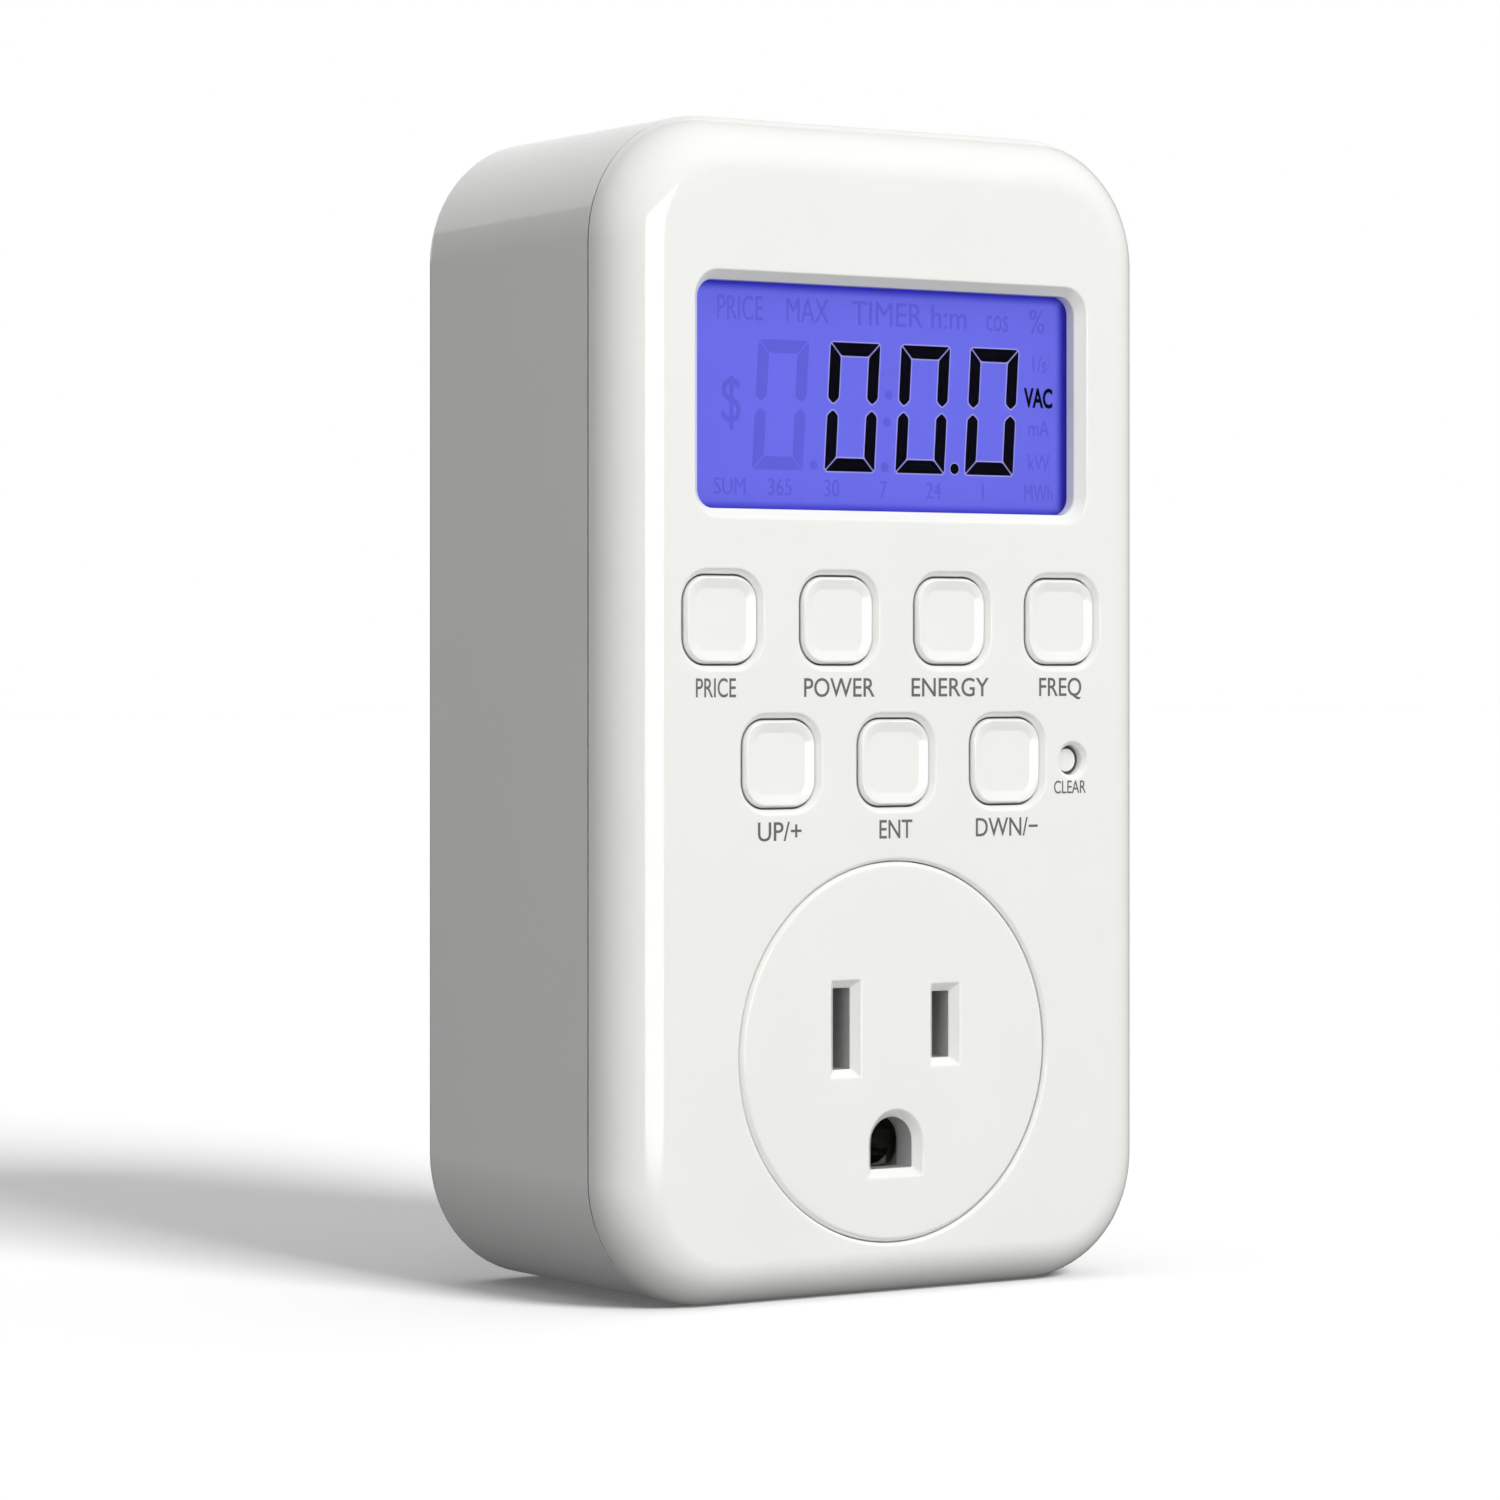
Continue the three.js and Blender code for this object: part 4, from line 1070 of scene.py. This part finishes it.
INNER = {
    "natural_plastic": plastic("natural_plastic", (0.65, 0.63, 0.56), (0.6, 0.58, 0.5), gloss=(0.4, 0.55)),
    "black_plastic": plastic("black_plastic", grey(0.02), grey(0.03), gloss=(0.45, 0.6)),
    "light_guide": plastic("light_guide", (0.75, 0.8, 0.95), (0.7, 0.75, 0.9), gloss=(0.1, 0.2)),
    "rubber_grey": plastic("rubber_grey", grey(0.2), grey(0.14), gloss=(0.7, 0.85)),
    "grey_plastic": GREY_PLASTIC_AND_SLOT_SHADE,
    "brass": BRASS,
    "steel_screw": STEEL,
    "switch_metal": metal("switch_metal", (0.68, 0.68, 0.66), (0.6, 0.6, 0.58), along=(0.05, 1, 1)),
    "shunt_metal": metal("shunt_metal", (0.55, 0.46, 0.38), (0.45, 0.38, 0.32), gloss=(0.35, 0.5)),
    "board_green": board_material(),
    "capacitor_yellow": plastic("capacitor_yellow", (0.75, 0.42, 0.03), (0.7, 0.38, 0.03)),
    "sleeve_blue": plastic("sleeve_blue", (0.012, 0.04, 0.2), (0.01, 0.03, 0.16), gloss=(0.2, 0.3)),
    "varistor_blue": plastic("varistor_blue", (0.02, 0.09, 0.42), (0.02, 0.07, 0.36), gloss=(0.5, 0.65)),
    "battery_green": plastic("battery_green", (0.03, 0.32, 0.1), (0.02, 0.27, 0.08), gloss=(0.2, 0.3)),
    "cable_grey": plastic("cable_grey", grey(0.5), grey(0.44), gloss=(0.5, 0.65)),
    "lead_white": plastic("lead_white", (0.75, 0.75, 0.73), (0.7, 0.7, 0.68), gloss=(0.4, 0.5)),
    "lead_black": plastic("lead_black", grey(0.015), grey(0.02), gloss=(0.4, 0.5)),
}


def dress(node, slot):
    """Gives a CAD node that stays its finish, with its small edges rounded."""
    edge_angle = math.radians(35)
    piece = frame["nodes"][node]
    piece.data.materials.clear()
    piece.data.materials.append(INNER[slot])
    piece.data.shade_smooth()
    piece.data.set_sharp_from_angle(angle=edge_angle)
    edges = piece.modifiers.new("soft_edges", "BEVEL")
    edges.width = 0.08 * MM
    edges.segments = 2
    edges.limit_method = "ANGLE"
    edges.angle_limit = edge_angle


for row in frame["record"]["subparts"]:
    if not frame["nodes"][row["node"]].hide_render:
        dress(row["node"], row["material_slot"])


# ------------------------------------------------------------------ studio

FLOOR_REACH = 6.0
GLOW_ABOVE = 0.22
GLOW_BELOW = 0.08
WHITE = (1, 1, 1)
WARM = (1, 1, 0.975)


def floor():
    """A pale floor. Its bounce is left to the world's glow, so that the dark side stays even."""
    bm = bmesh.new()
    reach = FLOOR_REACH
    corners = [(-reach, -reach), (reach, -reach), (reach, reach), (-reach, reach)]
    bm.faces.new([bm.verts.new((x, y, 0)) for x, y in corners])
    nodes = Nodes("studio_floor")
    shade = nodes.blend(nodes.ramp(nodes.noise(3, 2), 0, 1), grey(0.95), grey(0.94))
    nodes.link(shade, nodes.shader.inputs["Base Color"])
    nodes.set(Roughness=1.0, Specular_IOR_Level=0.0)
    piece = make_object("studio_floor", bm, nodes.material, weighted=False)
    piece.visible_diffuse = False
    piece.visible_glossy = False
    piece.visible_shadow = False
    return piece


def aimed(name, data, place_at, aim):
    """A light at a point, turned towards another."""
    light = bpy.data.objects.new(name, data)
    light.location = place_at
    light.rotation_euler = (Vector(aim) - Vector(place_at)).to_track_quat("-Z", "Y").to_euler()
    bpy.context.scene.collection.objects.link(light)
    return light


def softbox(name, place_at, aim, size, brightness, tint=WHITE, unseen=None):
    """A rectangular light of an even brightness, in watts per steradian and square metre.

    It can be left out of "glossy" or "diffuse" shading, so that the shade on the walls and the
    bright strips on the fillets are set apart.
    """
    data = bpy.data.lights.new(name, "AREA")
    data.shape = "RECTANGLE"
    data.size, data.size_y = size
    data.energy = brightness * size[0] * size[1] * math.pi
    data.color = tint
    light = aimed(name, data, place_at, aim)
    if unseen:
        setattr(light, f"visible_{unseen}", False)
    return light


def only_for(light, receiver, state="INCLUDE"):
    """Keeps a light's effect to one object, or off it."""
    group = bpy.data.collections.new(f"{light.name}_receivers")
    group.objects.link(receiver)
    group.collection_objects[0].light_linking.link_state = state
    light.light_linking.receiver_collection = group


def studio_world():
    """A white background for the camera, and a dim glow from above for the light."""
    world = bpy.data.worlds.new("studio")
    bpy.context.scene.world = world
    world.use_nodes = True
    tree = world.node_tree
    backdrop = tree.nodes["Background"]
    backdrop.inputs["Color"].default_value = (1, 1, 1, 1)
    glow = tree.nodes.new("ShaderNodeBackground")
    glow.inputs["Color"].default_value = (0.985, 0.985, 1, 1)
    where = tree.nodes.new("ShaderNodeTexCoord")
    split = tree.nodes.new("ShaderNodeSeparateXYZ")
    height = tree.nodes.new("ShaderNodeMapRange")
    height.inputs["From Min"].default_value = -0.25
    height.inputs["From Max"].default_value = 0.35
    height.inputs["To Min"].default_value = GLOW_BELOW
    height.inputs["To Max"].default_value = GLOW_ABOVE
    height.interpolation_type = "SMOOTHSTEP"
    tree.links.new(where.outputs["Generated"], split.inputs["Vector"])
    tree.links.new(split.outputs["Z"], height.inputs["Value"])
    tree.links.new(height.outputs["Result"], glow.inputs["Strength"])
    path = tree.nodes.new("ShaderNodeLightPath")
    mix = tree.nodes.new("ShaderNodeMixShader")
    tree.links.new(path.outputs["Is Camera Ray"], mix.inputs["Fac"])
    tree.links.new(glow.outputs["Background"], mix.inputs[1])
    tree.links.new(backdrop.outputs["Background"], mix.inputs[2])
    tree.links.new(mix.outputs["Shader"], tree.nodes["World Output"].inputs["Surface"])


def camera():
    """A level camera to the left of the object, shifted so that the object's middle is in view."""
    data = bpy.data.cameras.new("camera")
    data.sensor_width = 36
    data.lens = 129.05
    data.shift_y = -0.0549
    view = bpy.data.objects.new("camera", data)
    yaw = math.radians(35.56)
    view.location = (-0.3322, -0.4576, 0.0643)
    view.rotation_euler = (math.radians(90), 0, -yaw)
    bpy.context.scene.collection.objects.link(view)
    bpy.context.scene.camera = view


def studio_lights(ground):
    """Softboxes that light the object but not the floor, and the floor's own two lights."""
    centre = (0, 0, 0.06)
    boxes = [
        softbox("front_box", (0.01, -1.2, 0.2), (0, 0, 0.1), (0.72, 0.65), 4.53, WARM, "glossy"),
        softbox("glint_box", (0.01, -1.2, 0.201), (0, 0, 0.201), (0.84, 0.598), 4.8, WARM, "diffuse"),
        softbox("high_box", (0.15, -0.9, 0.95), centre, (0.6, 0.6), 4.9, WARM, "glossy"),
        softbox("top_box", (-0.1, -0.35, 1.4), centre, (0.8, 0.8), 1.45, WARM, "glossy"),
        softbox("left_box", (-1.04, -0.6, 0.3), centre, (0.6, 0.8), 2.35, unseen="glossy"),
        softbox("right_box", (1.16, -0.31, 0.4), centre, (0.6, 0.8), 3.4, unseen="glossy"),
        softbox("rear_box", (0.3, 1.5, 0.9), centre, (2.4, 1.4), 0.72),
        softbox("back_box", (0.1, 1.3, 0.4), centre, (0.7, 0.8), 2.4, unseen="glossy"),
        softbox("low_box", (0.0, -0.7, -0.9), centre, (0.8, 0.5), 0.75),
    ]
    for box in boxes:
        only_for(box, ground, "EXCLUDE")
    floor_sun("floor_sun", 5.7, 33, 22, 3.1, ground)
    floor_sun("floor_top", 0, 90, 100, 1.0, ground)


def floor_sun(name, azimuth, elevation, spread, power, ground):
    """A distant light for the floor alone, which throws the object's shadow. Angles in degrees."""
    sun = bpy.data.lights.new(name, "SUN")
    sun.energy = power
    sun.angle = math.radians(spread)
    azimuth, elevation = math.radians(azimuth), math.radians(elevation)
    level = math.cos(elevation)
    start = (level * math.sin(azimuth), -level * math.cos(azimuth), math.sin(elevation))
    only_for(aimed(name, sun, start, (0, 0, 0)), ground)


camera()
studio_world()
studio_lights(floor())

scene = bpy.context.scene
scene.view_settings.view_transform = "Standard"
scene.view_settings.look = "None"
